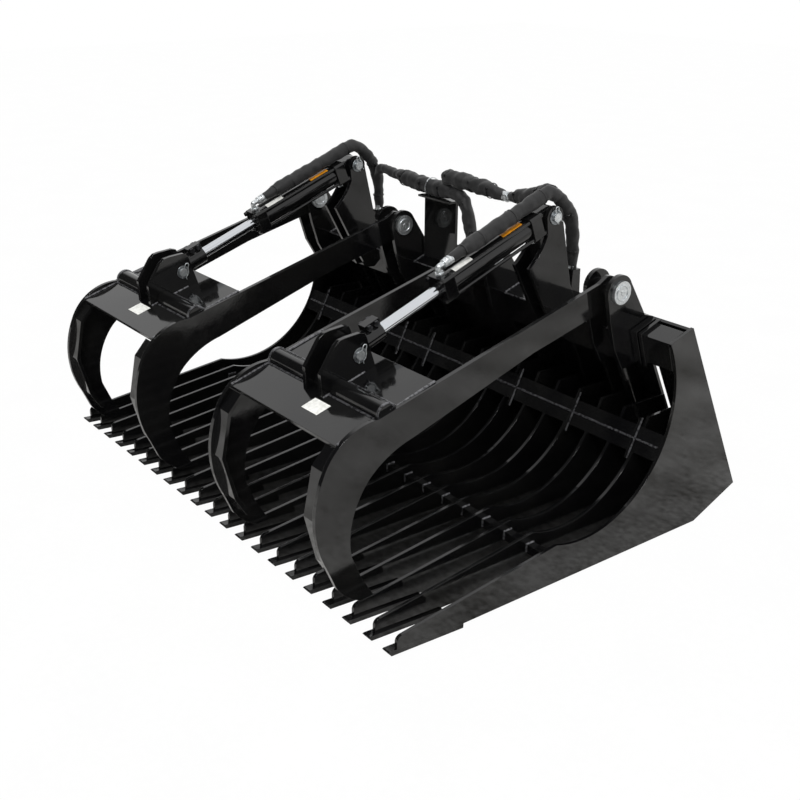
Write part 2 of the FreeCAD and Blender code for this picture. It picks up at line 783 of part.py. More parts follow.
def make_grapple(side, centre):
    """One grapple: two claws, their bushings and stiffeners, the deck, tube and lugs."""
    half = D["claw_half_spacing"]
    claws = Piece("claw_plates_" + side)
    bore = circle(PIVOT, D["bushing_radius"] + GAP)
    for x in (centre - half, centre + half):
        claws.pad(edges_of(claw_outline()) + bore, x - HEAVY / 2, "Dims.heavy_plate")
    bushings = Piece("claw_bushings_" + side)
    length = 2 * (D["ear_offset"] - HEAVY / 2 - D["side_clearance"])
    ring = circle(PIVOT, D["bushing_radius"]) + circle(PIVOT, D["pivot_radius"] + D["running_clearance"])
    for x in (centre - half, centre + half):
        bushings.pad(ring, x - length / 2, length)
    inner_low = centre - half + HEAVY / 2
    inner_high = centre + half - HEAVY / 2
    stiffeners = Piece("claw_stiffeners_" + side)
    for start in (inner_low, inner_high - D["stiffener_width"]):
        stiffeners.pad(edges_of(stiffener_outline()), start, "Dims.stiffener_width")
    span = inner_high - inner_low
    outer = D["cross_tube_radius"]
    wall = D["cross_tube_wall"]
    tube = Piece("cross_tube_" + side)
    tube.pad(circle(CROSS_TUBE, outer) + circle(CROSS_TUBE, outer - wall), inner_low, span)
    vent = circle((CROSS_TUBE[0], CROSS_TUBE[1] - outer / 2), D["vent_radius"])
    for start in (inner_low, inner_high - wall):
        tube.pad(circle(CROSS_TUBE, outer) + vent, start, "Dims.cross_tube_wall")
    deck = Piece("cross_plate_" + side)
    tube_along = (CROSS_TUBE[0] - PLATE_FRONT[0]) * DECK[0] + (CROSS_TUBE[1] - PLATE_FRONT[1]) * DECK[1]
    reach = outer + GAP
    deck_length = math.dist(PLATE_FRONT, PLATE_REAR)
    deck.pad(edges_of(deck_piece(0, tube_along - reach)), inner_low, span)
    deck.pad(edges_of(deck_piece(tube_along + reach, deck_length)), inner_low, span)
    lugs = Piece("rod_lugs_" + side)
    outline = [(y, deck_height(y) + GAP) if z is None else (y, z) for y, z in LUG_CORNERS]
    bore = circle(ROD_PIN, D["pin_radius"] + GAP)
    for x in (centre - D["lug_offset"], centre + D["lug_offset"]):
        lugs.pad(edges_of(outline) + bore, x - HEAVY / 2, "Dims.heavy_plate")
    lugs.pocket(circle(CROSS_TUBE, reach), centre)
    cross_pin(Piece("rod_pin_" + side), centre, ROD_PIN)


# Cylinder: local Z runs from the base pin to the rod pin, local Y away from the deck.
PIN_SPAN = math.dist(BASE_PIN, ROD_PIN)
CYLINDER_TURN = Rotation(
    Vector(1, 0, 0),
    math.degrees(math.atan2((BASE_PIN[0] - ROD_PIN[0]) / PIN_SPAN, (ROD_PIN[1] - BASE_PIN[1]) / PIN_SPAN)),
)
BARREL_START = D["base_cap_start"] + D["cap_thickness"]
HEAD_START = BARREL_START + D["barrel_length"]
HEAD_END = HEAD_START + D["cap_thickness"]
HEAD_MIDDLE = HEAD_START + D["cap_thickness"] / 2
AXIS_BACK = ((BASE_PIN[0] - ROD_PIN[0]) / PIN_SPAN, (BASE_PIN[1] - ROD_PIN[1]) / PIN_SPAN)
# The sleeve rests on the caps, so its axis is this far above the cylinder's.
SLEEVE_UP = D["cap_size"] / 2 + GAP + D["sleeve_radius"]
CAP_CUT = 6.0
PISTON_SHORT = 4.0
PORT_STEP = 0.5


def square_cap():
    half = D["cap_size"] / 2
    cut = CAP_CUT
    return [
        (half, -half + cut),
        (half, half - cut),
        (half - cut, half),
        (-half + cut, half),
        (-half, half - cut),
        (-half, -half + cut),
        (-half + cut, -half),
        (half - cut, -half),
    ]


def tie_places():
    offset = D["tie_rod_offset"]
    return [(x, y) for x in (-offset, offset) for y in (-offset, offset)]


def hexagon(centre, radius):
    return [polar(centre, radius, 60 * corner + 30) for corner in range(6)]


def hex_nut(base, direction, radius, length):
    """A six-sided prism from base along a direction."""
    corners = [Vector(y, z, 0) for y, z in hexagon((0.0, 0.0), radius)]
    nut = Part.Face(Part.makePolygon(corners + corners[:1])).extrude(Vector(0, 0, length))
    nut.Placement = Placement(base, Rotation(Vector(0, 0, 1), direction))
    return nut


def make_port(side):
    """The elbow that rises from the rod cap and turns back into the sleeve's neck."""
    radius = D["port_radius"]
    run = D["port_run"]
    foot = Vector(0, D["cap_size"] / 2, HEAD_MIDDLE)
    outlet = Vector(0, SLEEVE_UP, HEAD_MIDDLE - run)
    upward = Vector(0, 1, 0)
    along = Vector(0, 0, 1)
    riser = Part.makeCylinder(radius, SLEEVE_UP - foot.y + radius, foot, upward)
    turned = Part.makeCylinder(radius - PORT_STEP, run + radius - PORT_STEP, outlet, along)
    low_nut = hex_nut(foot, upward, D["port_nut"], radius)
    back_nut = hex_nut(outlet, along, D["port_nut"], radius)
    return shaped_part("port_elbows_" + side, [riser.fuse([turned, low_nut, back_nut]).removeSplitter()])


def make_cylinder(side, centre):
    """One tie-rod cylinder, built about its base pin and then swung into place."""
    base = Vector(centre, BASE_PIN[0], BASE_PIN[1])
    axis = (0.0, 0.0)
    cap_start = D["base_cap_start"]
    holes = [curve for place in tie_places() for curve in circle(place, D["tie_rod_radius"] + GAP)]
    eye = Piece("base_eye_" + side)
    radius = D["eye_radius"]
    tang = [(-radius, 0.0), Bend((0.0, -radius), (radius, 0.0)), (radius, cap_start), (-radius, cap_start)]
    bore = circle(axis, D["pin_radius"] + D["running_clearance"])
    eye.pad(edges_of(tang) + bore, "-Dims.eye_half_width", "2 * Dims.eye_half_width")
    base_cap = Piece("base_cap_" + side)
    base_cap.pad(edges_of(square_cap()) + holes, "Dims.base_cap_start", "Dims.cap_thickness", "XY")
    head = Piece("rod_cap_" + side)
    rod_bore = circle(axis, D["rod_radius"] + D["running_clearance"])
    head.pad(edges_of(square_cap()) + holes + rod_bore, HEAD_START, "Dims.cap_thickness", "XY")
    barrel = Piece("barrel_" + side)
    wall = circle(axis, D["barrel_radius"]) + circle(axis, D["barrel_bore"])
    barrel.pad(wall, BARREL_START, "Dims.barrel_length", "XY")
    ties = Piece("tie_rods_" + side)
    end = D["nut_thickness"]
    for place in tie_places():
        ties.pad(circle(place, D["tie_rod_radius"]), cap_start - end, HEAD_END + 2 * end - cap_start, "XY")
        ties.pad(edges_of(hexagon(place, D["nut_radius"])), cap_start - end, "Dims.nut_thickness", "XY")
        ties.pad(edges_of(hexagon(place, D["nut_radius"])), HEAD_END, "Dims.nut_thickness", "XY")
    rod = Piece("piston_rod_" + side)
    piston = circle(axis, D["barrel_bore"] - D["running_clearance"])
    piston_end = HEAD_START - PISTON_SHORT
    rod.pad(piston, piston_end - D["piston_thickness"], "Dims.piston_thickness", "XY")
    rod.pad(circle(axis, D["rod_radius"]), piston_end, D["clamp_start"] - piston_end, "XY")
    clamp = make_rod_end(side)
    bolts = Piece("clamp_bolts_" + side)
    ear_half = D["clamp_ear_half"]
    height = D["clamp_bolt_height"]
    bolt_up = D["clamp_ear_height"] - D["clamp_bolt_head"] - GAP
    for part in (1, 3):
        at = (bolt_up, D["clamp_start"] + part * D["clamp_ear_length"] / 4)
        for start in (ear_half, -ear_half - height):
            bolts.pad(edges_of(hexagon(at, D["clamp_bolt_head"])), start, "Dims.clamp_bolt_height")
    sleeve = Piece("hose_sleeve_" + side)
    neck_end = HEAD_MIDDLE - D["port_run"] - GAP
    neck_start = neck_end - D["sleeve_neck"]
    route = (0.0, SLEEVE_UP)
    sleeve.pad(circle(route, D["sleeve_radius"]), "Dims.weld_gap", neck_start - GAP, "XY")
    sleeve.pad(circle(route, D["sleeve_neck_radius"]), neck_start, "Dims.sleeve_neck", "XY")
    for piece in (eye, base_cap, head, barrel, ties, rod, clamp, bolts, sleeve):
        piece.place(base, CYLINDER_TURN)
    make_port(side).Placement = Placement(base, CYLINDER_TURN)


def make_rod_end(side):
    """The eye on the rod's end, opened wide round the pin, and its split clamp."""
    clamp = Piece("rod_end_" + side)
    start = D["clamp_start"]
    shank = PIN_SPAN - D["pin_radius"] - D["open_pivot_clearance"] - 2.0 - start
    clamp.pad(circle((0.0, 0.0), D["clamp_radius"]), "Dims.clamp_start", shank, "XY")
    half = D["lug_offset"] - HEAVY / 2 - D["rod_eye_clearance"]
    clamp.pad(circle((0.0, PIN_SPAN), D["rod_eye_radius"]), -half, 2 * half)
    clamp.pocket(circle((0.0, PIN_SPAN), D["pin_radius"] + D["open_pivot_clearance"]), 0.0)
    low = D["rod_radius"]
    top = D["clamp_ear_height"]
    length = D["clamp_ear_length"]
    ear = [(low, start), (top, start), (top, start + length), (low, start + length)]
    clamp.pad(edges_of(ear), "-Dims.clamp_ear_half", "2 * Dims.clamp_ear_half")
    return clamp


def make_hose_mounts():
    """Blocks on the box where the hoses end, and the ledge under the centre sleeves."""
    mounts = Piece("hose_mounts")
    top = D["mount_top"] - GAP
    front_foot = tilted(BOX, D["mount_start"], -GAP)
    rear_foot = tilted(BOX, D["mount_end"], -GAP)
    middle = HOSE_WAY[-1][0]
    reach = D["hose_radius"] + D["ledge_plate"]
    block = [front_foot, rear_foot, (middle + reach, top - reach), (middle + reach, top), (middle - reach, top)]
    for centre in (-GRAPPLE_CENTRE, GRAPPLE_CENTRE):
        mounts.pad(edges_of(block), centre - D["mount_half_width"], "2 * Dims.mount_half_width")
    ledge = D["ledge_top"]
    under = ledge - D["ledge_plate"]
    post = [tilted(BOX, D["post_start"], -GAP), tilted(BOX, D["post_end"], -GAP)]
    front, rear = LEDGE
    shelf = [(rear, under), (rear, ledge), (front, ledge), (front, under)]
    outline = post + [(post[1][0], under)] + shelf + [(post[0][0], under)]
    mounts.pad(edges_of(outline), LEDGE_FROM, LEDGE_TO - LEDGE_FROM)


# The ledge in front of and behind the centre sleeves, and its ends across the bucket
LEDGE = (908.0, 960.0)
LEDGE_FROM = -165.0
LEDGE_TO = -13.0
SLEEVE_Y = 934.0
# The hose's way down behind its tower, after its first leg
HOSE_WAY = ((960.0, 825.0), (971.5, 759.0), (971.5, D["mount_top"]))


def make_rear_hoses():
    """A hose down to each block, from where the open cylinder's sleeve ends, and the centre sleeves."""
    rise = math.degrees(math.atan2(AXIS_BACK[1], AXIS_BACK[0]))
    swung = math.radians(rise - D["cylinder_swing"])
    heading = (math.cos(swung), math.sin(swung))
    start = shifted(BASE_PIN, D["side_clearance"], SLEEVE_UP, heading)
    way = (start, shifted(start, D["hose_lead"], 0, heading)) + HOSE_WAY
    hoses = []
    for centre in (-GRAPPLE_CENTRE, GRAPPLE_CENTRE):
        hoses.append(tube_along([(centre, y, z) for y, z in way], D["hose_radius"]))
    radius = D["centre_sleeve_radius"]
    low = D["ledge_top"] + GAP + radius
    high = low + 2 * radius + GAP
    lower = [(-273.0, SLEEVE_Y, low + 8.0), (-160.0, SLEEVE_Y, low), (-27.0, SLEEVE_Y, low)]
    over_tower = GRAPPLE_CENTRE - D["sleeve_radius"] - HEAVY
    upper = [(-60.0, SLEEVE_Y, high), (70.0, SLEEVE_Y, high), (206.0, SLEEVE_Y, high - 5.0)]
    upper += [(330.0, 925.0, high + 22.0), (over_tower, 905.0, high + 52.0)]
    hoses.append(tube_along(lower, radius))
    hoses.append(tube_along(upper, radius))
    shaped_part("rear_hoses", hoses)


make_plates()
make_teeth()
make_cross_members()
make_ribs()
make_torque_box()
make_back()
make_uprights()
make_ears()
make_towers()
make_pivot_pins()
make_base_pins()
make_hose_mounts()
make_rear_hoses()
for side, centre in (("right", GRAPPLE_CENTRE), ("left", -GRAPPLE_CENTRE)):
    make_grapple(side, centre)
    make_cylinder(side, centre)

doc.recompute()
bounds = FreeCAD.BoundBox()
for body in PARTS.values():
    bounds.add(body.Shape.BoundBox)
shift = Vector(0, -(bounds.YMin + bounds.YMax) / 2, -bounds.ZMin)
for body in PARTS.values():
    body.Placement = Placement(body.Placement.Base + shift, body.Placement.Rotation)
doc.recompute()
print("shift", shift, "size", bounds.XLength, bounds.YLength, bounds.ZLength)

for item in doc.Objects:
    if "Invalid" in item.State or "Error" in item.State:
        raise RuntimeError("%s did not build" % item.Label)
os.makedirs("parts", exist_ok=True)
for name, body in PARTS.items():
    shape = body.Shape
    if shape.isNull() or not shape.isValid():
        raise RuntimeError("%s has no valid shape" % name)
    shape.exportStep("parts/%s.step" % name)
    print(name, len(shape.Solids), round(shape.Volume / 1000.0, 1))
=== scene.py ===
"""Studio scene of a skeleton bucket with two hydraulic grapples, dressed round its CAD frame."""
import json
import logging
import math
from dataclasses import dataclass
from enum import Enum

import bmesh
import bpy
from mathutils import Matrix, Vector, noise


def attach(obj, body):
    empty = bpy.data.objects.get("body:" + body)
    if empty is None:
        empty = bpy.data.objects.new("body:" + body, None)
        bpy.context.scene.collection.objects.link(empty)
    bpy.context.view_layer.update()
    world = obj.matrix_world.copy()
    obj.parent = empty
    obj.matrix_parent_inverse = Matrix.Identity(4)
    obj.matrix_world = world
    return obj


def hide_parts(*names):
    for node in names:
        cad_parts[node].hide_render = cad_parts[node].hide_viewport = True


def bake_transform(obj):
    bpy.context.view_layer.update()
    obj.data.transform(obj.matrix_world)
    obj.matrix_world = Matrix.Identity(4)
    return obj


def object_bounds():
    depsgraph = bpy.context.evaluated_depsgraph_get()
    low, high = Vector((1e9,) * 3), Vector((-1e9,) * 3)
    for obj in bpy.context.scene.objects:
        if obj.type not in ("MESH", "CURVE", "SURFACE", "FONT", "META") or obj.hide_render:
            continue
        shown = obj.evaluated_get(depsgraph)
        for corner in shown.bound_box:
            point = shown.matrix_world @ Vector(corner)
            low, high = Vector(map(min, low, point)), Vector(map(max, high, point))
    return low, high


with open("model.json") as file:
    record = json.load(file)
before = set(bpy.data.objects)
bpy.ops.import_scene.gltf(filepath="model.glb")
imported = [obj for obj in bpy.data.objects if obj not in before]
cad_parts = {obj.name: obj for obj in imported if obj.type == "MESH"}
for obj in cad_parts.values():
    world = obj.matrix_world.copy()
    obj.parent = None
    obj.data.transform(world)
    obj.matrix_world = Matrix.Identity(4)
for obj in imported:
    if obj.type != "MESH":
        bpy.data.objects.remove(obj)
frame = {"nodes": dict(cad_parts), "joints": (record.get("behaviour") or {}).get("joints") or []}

CAD_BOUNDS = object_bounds()
LOG = logging.getLogger("grapple_bucket")
CROSSWAYS = Vector((1.0, 0.0, 0.0))

# Lengths are in millimetres, and a place's Y is measured back from the tooth tips.
MM = 0.001
TEETH_Y = -604.1545  # the tooth tips in the row frame
GRAPPLE_X = 456.0  # the middle of a grapple
CLAW_X = 240.4  # the middle of a claw plate from there
HOSE_START = (895.4, 908.2)  # Y and Z where the hose behind a tower starts
BOX_EDGE = (899.3, 584.2)  # Y and Z of the torque box's front top edge
BOX_TILT = math.radians(19.0)
CREASE_MM = 24.0  # spacing of a sleeve's creases
MERGE_MM = 0.001
CURVE_MERGE_MM = 0.01
HARD_EDGE = math.radians(38)
TUBE_EDGE = math.radians(50)
PRISM_EDGE = math.radians(45)

Tree = bpy.types.NodeTree
Node = bpy.types.Node
Socket = bpy.types.NodeSocket


class Side(Enum):
    """The two grapples, by the body names' first word, with the sign of their X."""

    RIGHT = ("right", 1.0)
    LEFT = ("left", -1.0)

    @property
    def word(self) -> str:
        """The side's name as nodes and bodies spell it."""
        return self.value[0]

    @property
    def sign(self) -> float:
        """+1 on the bucket's +X side, -1 on the other."""
        return self.value[1]


def linear(code: str) -> tuple[float, float, float, float]:
    """Turns an sRGB hex colour into linear RGBA.

    Args:
        code: Six hex digits, such as "1c1c1e".

    Returns:
        Red, green, blue and alpha, linear, with alpha 1.
    """
    parts = [int(code[i:i + 2], 16) / 255 for i in (0, 2, 4)]
    return tuple(c / 12.92 if c <= 0.04045 else ((c + 0.055) / 1.055) ** 2.4 for c in parts) + (1.0,)


def add(tree: Tree, kind: str, inputs: dict | None = None, **settings: object) -> Node:
    """Adds a node with its settings, values and links.

    Args:
        tree: The material's or world's node tree.
        kind: The node's type name.
        inputs: Socket name or number to a value, or to the socket that feeds it.
        settings: Properties of the node.

    Returns:
        The new node.
    """
    node = tree.nodes.new(kind)
    for name, value in settings.items():
        setattr(node, name, value)
    for name, value in (inputs or {}).items():
        if isinstance(value, bpy.types.NodeSocket):
            tree.links.new(value, node.inputs[name])
        else:
            node.inputs[name].default_value = value
    return node


def ramp(tree: Tree, source: Socket, stops: list[tuple[float, tuple]]) -> Node:
    """Adds a colour ramp.

    Args:
        tree: The node tree.
        source: The socket that drives the ramp.
        stops: Pairs of place and linear colour, at least two.

    Returns:
        The ramp node.
    """
    node = add(tree, "ShaderNodeValToRGB", {"Fac": source})
    elements = node.color_ramp.elements
    for place, colour in stops[2:]:
        elements.new(place)
    for element, (place, colour) in zip(elements, sorted(stops)):
        element.position = place
        element.color = colour
    return node


def new_material(name: str) -> tuple[bpy.types.Material, Tree]:
    """Makes an empty node material.

    Args:
        name: The material's name.

    Returns:
        The material and its node tree.
    """
    material = bpy.data.materials.new(name)
    material.use_nodes = True
    material.node_tree.nodes.clear()
    return material, material.node_tree


def finish_with(tree: Tree, shader: Node) -> None:
    """Links a shader to the material's output."""
    add(tree, "ShaderNodeOutputMaterial", {"Surface": shader.outputs[0]})


def grain(tree: Tree, size_mm: float, detail: float = 2.0, stretch: tuple = (1.0, 1.0, 1.0)) -> Node:
    """Adds a noise whose blotches are about size_mm across, on object coordinates.

    Args:
        tree: The node tree.
        size_mm: Size of one blotch in millimetres.
        detail: Octaves of finer noise.
        stretch: Scale of the pattern along X, Y and Z.

    Returns:
        The noise node.
    """
    place = add(tree, "ShaderNodeTexCoord")
    scaled = add(tree, "ShaderNodeMapping", {"Vector": place.outputs["Object"], "Scale": stretch})
    return add(tree, "ShaderNodeTexNoise", {
        "Vector": scaled.outputs[0], "Scale": 1 / (size_mm * MM), "Detail": detail})


@dataclass(frozen=True)
class PowderCoat:
    """Gloss-black powder coat on steel plate: near black, mirror-like, with a faint orange peel."""

    name: str = "gloss_black_powder_coat"
    slot: str = "black_paint"
    colour: str = "0a0a0b"
    dusty: str = "161615"
    peel_mm: float = 7.0
    peel_depth_mm: float = 0.06
    cloud_mm: float = 160.0
    mark_mm: float = 30.0
    roughness: float = 0.05
    handled: float = 0.09
    edge_mm: float = 1.6

    def make(self) -> bpy.types.Material:
        """Builds the material: faint handling marks, orange-peel bump and softened edges."""
        material, tree = new_material(self.name)
        cloud = grain(tree, self.cloud_mm, 5.0)
        tone = ramp(tree, cloud.outputs["Fac"], [(0.4, linear(self.colour)), (0.8, linear(self.dusty))])
        marks = grain(tree, self.mark_mm, 4.0)
        rough = add(tree, "ShaderNodeMapRange", {
            "Value": marks.outputs["Fac"], "From Min": 0.3, "From Max": 0.8,
            "To Min": self.roughness, "To Max": self.roughness + self.handled})
        edge = add(tree, "ShaderNodeBevel", {"Radius": self.edge_mm * MM}, samples=4)
        peel = grain(tree, self.peel_mm, 1.0)
        bump = add(tree, "ShaderNodeBump", {
            "Height": peel.outputs["Fac"], "Normal": edge.outputs[0], "Distance": self.peel_depth_mm * MM,
            "Strength": 0.6})
        shader = add(tree, "ShaderNodeBsdfPrincipled", {
            "Base Color": tone.outputs["Color"], "Roughness": rough.outputs[0], "Normal": bump.outputs[0]})
        finish_with(tree, shader)
        return material


@dataclass(frozen=True)
class ZincPlate:
    """Bright zinc plating on turned steel: pale grey, faintly blue, with turning marks."""

    name: str = "bright_zinc_plating"
    slot: str = "zinc_plate"
    colour: str = "eceff0"
    shade: str = "c3c8cb"
    spangle_mm: float = 6.0
    turning_mm: float = 0.9
    edge_mm: float = 0.8
    rough: tuple = (0.26, 0.46)

    def make(self) -> bpy.types.Material:
        """Builds the material: blotchy plating over a fine bump."""
        material, tree = new_material(self.name)
        blotch = grain(tree, self.spangle_mm, 4.0)
        tone = ramp(tree, blotch.outputs["Fac"], [(0.3, linear(self.shade)), (0.7, linear(self.colour))])
        rough = add(tree, "ShaderNodeMapRange", {
            "Value": blotch.outputs["Fac"], "To Min": self.rough[0], "To Max": self.rough[1]})
        turning = grain(tree, self.turning_mm, 2.0)
        edge = add(tree, "ShaderNodeBevel", {"Radius": self.edge_mm * MM}, samples=4)
        bump = add(tree, "ShaderNodeBump", {
            "Height": turning.outputs["Fac"], "Normal": edge.outputs[0], "Distance": 0.05 * MM,
            "Strength": 0.3})
        shader = add(tree, "ShaderNodeBsdfPrincipled", {
            "Base Color": tone.outputs["Color"], "Metallic": 1.0, "Roughness": rough.outputs[0],
            "Normal": bump.outputs[0]})
        finish_with(tree, shader)
        return material


@dataclass(frozen=True)
class HardChrome:
    """Hard chrome on a ground piston rod: bright, with the grinding's faint rings."""

    name: str = "hard_chrome"
    slot: str = "chrome"
    colour: str = "d0d3d7"
    ring_mm: float = 3.0
    rough: tuple = (0.08, 0.17)

    def make(self) -> bpy.types.Material:
        """Builds the material: a mirror with a whisper of roughness in bands."""
        material, tree = new_material(self.name)
        bands = grain(tree, self.ring_mm, 2.0)
        rough = add(tree, "ShaderNodeMapRange", {
            "Value": bands.outputs["Fac"], "To Min": self.rough[0], "To Max": self.rough[1]})
        bump = add(tree, "ShaderNodeBump", {
            "Height": bands.outputs["Fac"], "Distance": 0.01 * MM, "Strength": 0.2})
        shader = add(tree, "ShaderNodeBsdfPrincipled", {
            "Base Color": linear(self.colour), "Metallic": 1.0, "Roughness": rough.outputs[0],
            "Normal": bump.outputs[0]})
        finish_with(tree, shader)
        return material


@dataclass(frozen=True)
class NylonSleeve:
    """Woven nylon sleeve over hydraulic hoses: matt black cloth with a fine weave and a soft sheen."""

    name: str = "woven_nylon_sleeve"
    slot: str = "hose_sleeve"
    colour: str = "0b0b0c"
    worn: str = "171718"
    weave_mm: float = 1.4
    wear_mm: float = 25.0
    crease_mm: float = 18.0
    crease_depth_mm: float = 2.0
    roughness: float = 0.62
    sheen: float = 0.12

    def make(self) -> bpy.types.Material:
        """Builds the material: worn blotches over a crossed weave and soft creases."""
        material, tree = new_material(self.name)
        wear = grain(tree, self.wear_mm, 5.0)
        tone = ramp(tree, wear.outputs["Fac"], [(0.35, linear(self.colour)), (0.75, linear(self.worn))])
        ways = ((1.0, 0.25, 0.25), (0.25, 1.0, 1.0))
        threads = [grain(tree, self.weave_mm, 1.0, stretch) for stretch in ways]
        weave = add(tree, "ShaderNodeMath", {
            0: threads[0].outputs["Fac"], 1: threads[1].outputs["Fac"]}, operation="ADD")
        crease = grain(tree, self.crease_mm, 3.0)
        folds = add(tree, "ShaderNodeBump", {
            "Height": crease.outputs["Fac"], "Distance": self.crease_depth_mm * MM, "Strength": 0.5})
        bump = add(tree, "ShaderNodeBump", {
            "Height": weave.outputs[0], "Normal": folds.outputs[0], "Distance": 0.25 * MM, "Strength": 0.6})
        shader = add(tree, "ShaderNodeBsdfPrincipled", {
            "Base Color": tone.outputs["Color"], "Roughness": self.roughness, "Normal": bump.outputs[0],
            "Sheen Weight": self.sheen, "Sheen Roughness": 0.5})
        finish_with(tree, shader)
        return material


@dataclass(frozen=True)
class PlainSurface:
    """A plain moulded, printed or turned surface with a little wear."""

    name: str
    colour: str
    shade: str
    roughness: float = 0.4
    metallic: float = 0.0
    slot: str = ""
    blotch_mm: float = 9.0
    grit_mm: float = 1.2

    def make(self) -> bpy.types.Material:
        """Builds the material: two close tones in blotches over a fine bump."""
        material, tree = new_material(self.name)
        blotch = grain(tree, self.blotch_mm, 5.0)
        tone = ramp(tree, blotch.outputs["Fac"], [(0.35, linear(self.shade)), (0.6, linear(self.colour))])
        rough = add(tree, "ShaderNodeMapRange", {
            "Value": blotch.outputs["Fac"], "To Min": self.roughness - 0.08, "To Max": self.roughness + 0.12})
        grit = grain(tree, self.grit_mm, 2.0)
        bump = add(tree, "ShaderNodeBump", {
            "Height": grit.outputs["Fac"], "Distance": 0.04 * MM, "Strength": 0.4})
        shader = add(tree, "ShaderNodeBsdfPrincipled", {
            "Base Color": tone.outputs["Color"], "Roughness": rough.outputs[0], "Metallic": self.metallic,
            "Normal": bump.outputs[0]})
        finish_with(tree, shader)
        return material


@dataclass(frozen=True)
class StudioFloor:
    """Pale yard floor: white to the camera with a breath of shadow, stony and shaded in reflections."""

    name: str = "pale_yard_floor"
    slot: str = ""
    dark: str = "8c8a86"
    pale: str = "efeeec"
    patch_mm: float = 260.0
    stone_mm: float = 22.0
    clear: float = 0.985

    def make(self) -> bpy.types.Material:
        """Builds the material: stony diffuse ground, and white for the camera's own rays."""
        material, tree = new_material(self.name)
        patches = grain(tree, self.patch_mm, 6.0)
        stones = grain(tree, self.stone_mm, 3.0)
        both = add(tree, "ShaderNodeMix", {
            0: 0.45, 2: patches.outputs["Fac"], 3: stones.outputs["Fac"]}, data_type="FLOAT")
        tone = ramp(tree, both.outputs[0], [(0.36, linear(self.dark)), (0.6, linear(self.pale))])
        ground = add(tree, "ShaderNodeBsdfDiffuse", {"Color": tone.outputs["Color"]})
        glow = add(tree, "ShaderNodeEmission", {"Color": (1, 1, 1, 1), "Strength": 1.0})
        rays = add(tree, "ShaderNodeLightPath")
        mix = add(tree, "ShaderNodeMath", {
            0: rays.outputs["Is Camera Ray"], 1: self.clear}, operation="MULTIPLY")
        shader = add(tree, "ShaderNodeMixShader", {
            0: mix.outputs[0], 1: ground.outputs[0], 2: glow.outputs[0]})
        finish_with(tree, shader)
        return material


class Finish(Enum):
    """The finishes, each made once and shared."""

    PAINT = PowderCoat()
    ZINC = ZincPlate()
    CHROME = HardChrome()
    WASHER = PlainSurface("dull_zinc_washer", "9a9ea1", "777b7e", 0.36, 1.0, slot="zinc_plate")
    # Weld beads: the black paint lightened to a grey metallic, a painted highlight that stands in for the
    # glints of light on the beads.
    WELD = PlainSurface("weld_bead_painted_highlight", "77777a", "3a3a3c", 0.26, 0.7, slot="black_paint")
    BOLT = PlainSurface("blackened_bolt_steel", "4a4b4e", "29292b", 0.3, 0.9, slot="zinc_plate")
    SLEEVE = NylonSleeve()
    PLASTIC = PlainSurface("black_cable_tie_nylon", "151516", "0e0e0f", 0.36)
    AMBER = PlainSurface("amber_vinyl_sticker", "e0931c", "c67f14", 0.38)
    WHITE = PlainSurface("white_vinyl_sticker", "e4e4e0", "cfcfca", 0.38)
    FLOOR = StudioFloor()

    def material(self) -> bpy.types.Material:
        """The finish's material, made on first use."""
        found = bpy.data.materials.get(self.value.name)
        return found or self.value.make()


def dress(piece: bpy.types.Object, finish: Finish) -> None:
    """Gives a piece one material."""
    piece.data.materials.clear()
    piece.data.materials.append(finish.material())


def placed(name: str, data: bpy.types.ID, finish: Finish, body: str) -> bpy.types.Object:
    """Links a new object, gives it its finish and lets it ride on a body.

    Args:
        name: The piece's name.
        data: Its mesh, in the row frame, in metres.
        finish: The finish of the whole piece.
        body: The CAD body that carries it, or an empty string for a piece that rides on no body.

    Returns:
        The new object.
    """
    piece = bpy.data.objects.new(name, data)
    bpy.context.scene.collection.objects.link(piece)
    dress(piece, finish)
    if body:
        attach(piece, body)
    LOG.info("piece %s: %s", name, finish.value.name)
    return piece


def mesh_piece(name: str, shape: bmesh.types.BMesh, finish: Finish, body: str) -> bpy.types.Object:
    """Turns a bmesh into a dressed piece, smooth but for its sharp edges.

    Args:
        name: The piece's name.
        shape: The mesh, in the row frame, in metres. It is freed.
        finish: The finish of the whole piece.
        body: The CAD body that carries the piece.

    Returns:
        The new object.
    """
    bmesh.ops.remove_doubles(shape, verts=shape.verts, dist=MERGE_MM * MM)
    bmesh.ops.recalc_face_normals(shape, faces=shape.faces)
    mesh = bpy.data.meshes.new(name)
    shape.to_mesh(mesh)
    shape.free()
    mesh.shade_smooth()
    mesh.set_sharp_from_angle(angle=HARD_EDGE)
    return placed(name, mesh, finish, body)


def turned(shape: bmesh.types.BMesh, centre: Vector, axis: Vector, profile: list, steps: int = 40,
           turn: float = math.tau, out: Vector | None = None) -> None:
    """Turns a closed profile about an axis, as a lathe does.

    Args:
        shape: The mesh that it is added to.
        centre: A point of the axis, in metres.
        axis: The axis, of length 1.
        profile: Corners as (along, radius) in millimetres.
        steps: Number of steps.
        turn: Angle in radians; a part turn is closed at both ends.
        out: Where a part turn starts, square to the axis.
    """
    out = out or axis.orthogonal().normalized()
    verts = [shape.verts.new(centre + (axis * along + out * radius) * MM) for along, radius in profile]
    edges = [shape.edges.new(pair) for pair in zip(verts, verts[1:] + verts[:1])]
    full = turn > math.tau - 0.001
    made = bmesh.ops.spin(
        shape, geom=verts + edges, cent=centre, axis=axis, angle=turn, steps=steps, use_merge=full)
    if not full:
        last = [part for part in made["geom_last"] if isinstance(part, bmesh.types.BMEdge)]
        bmesh.ops.contextual_create(shape, geom=edges)
        bmesh.ops.contextual_create(shape, geom=last)


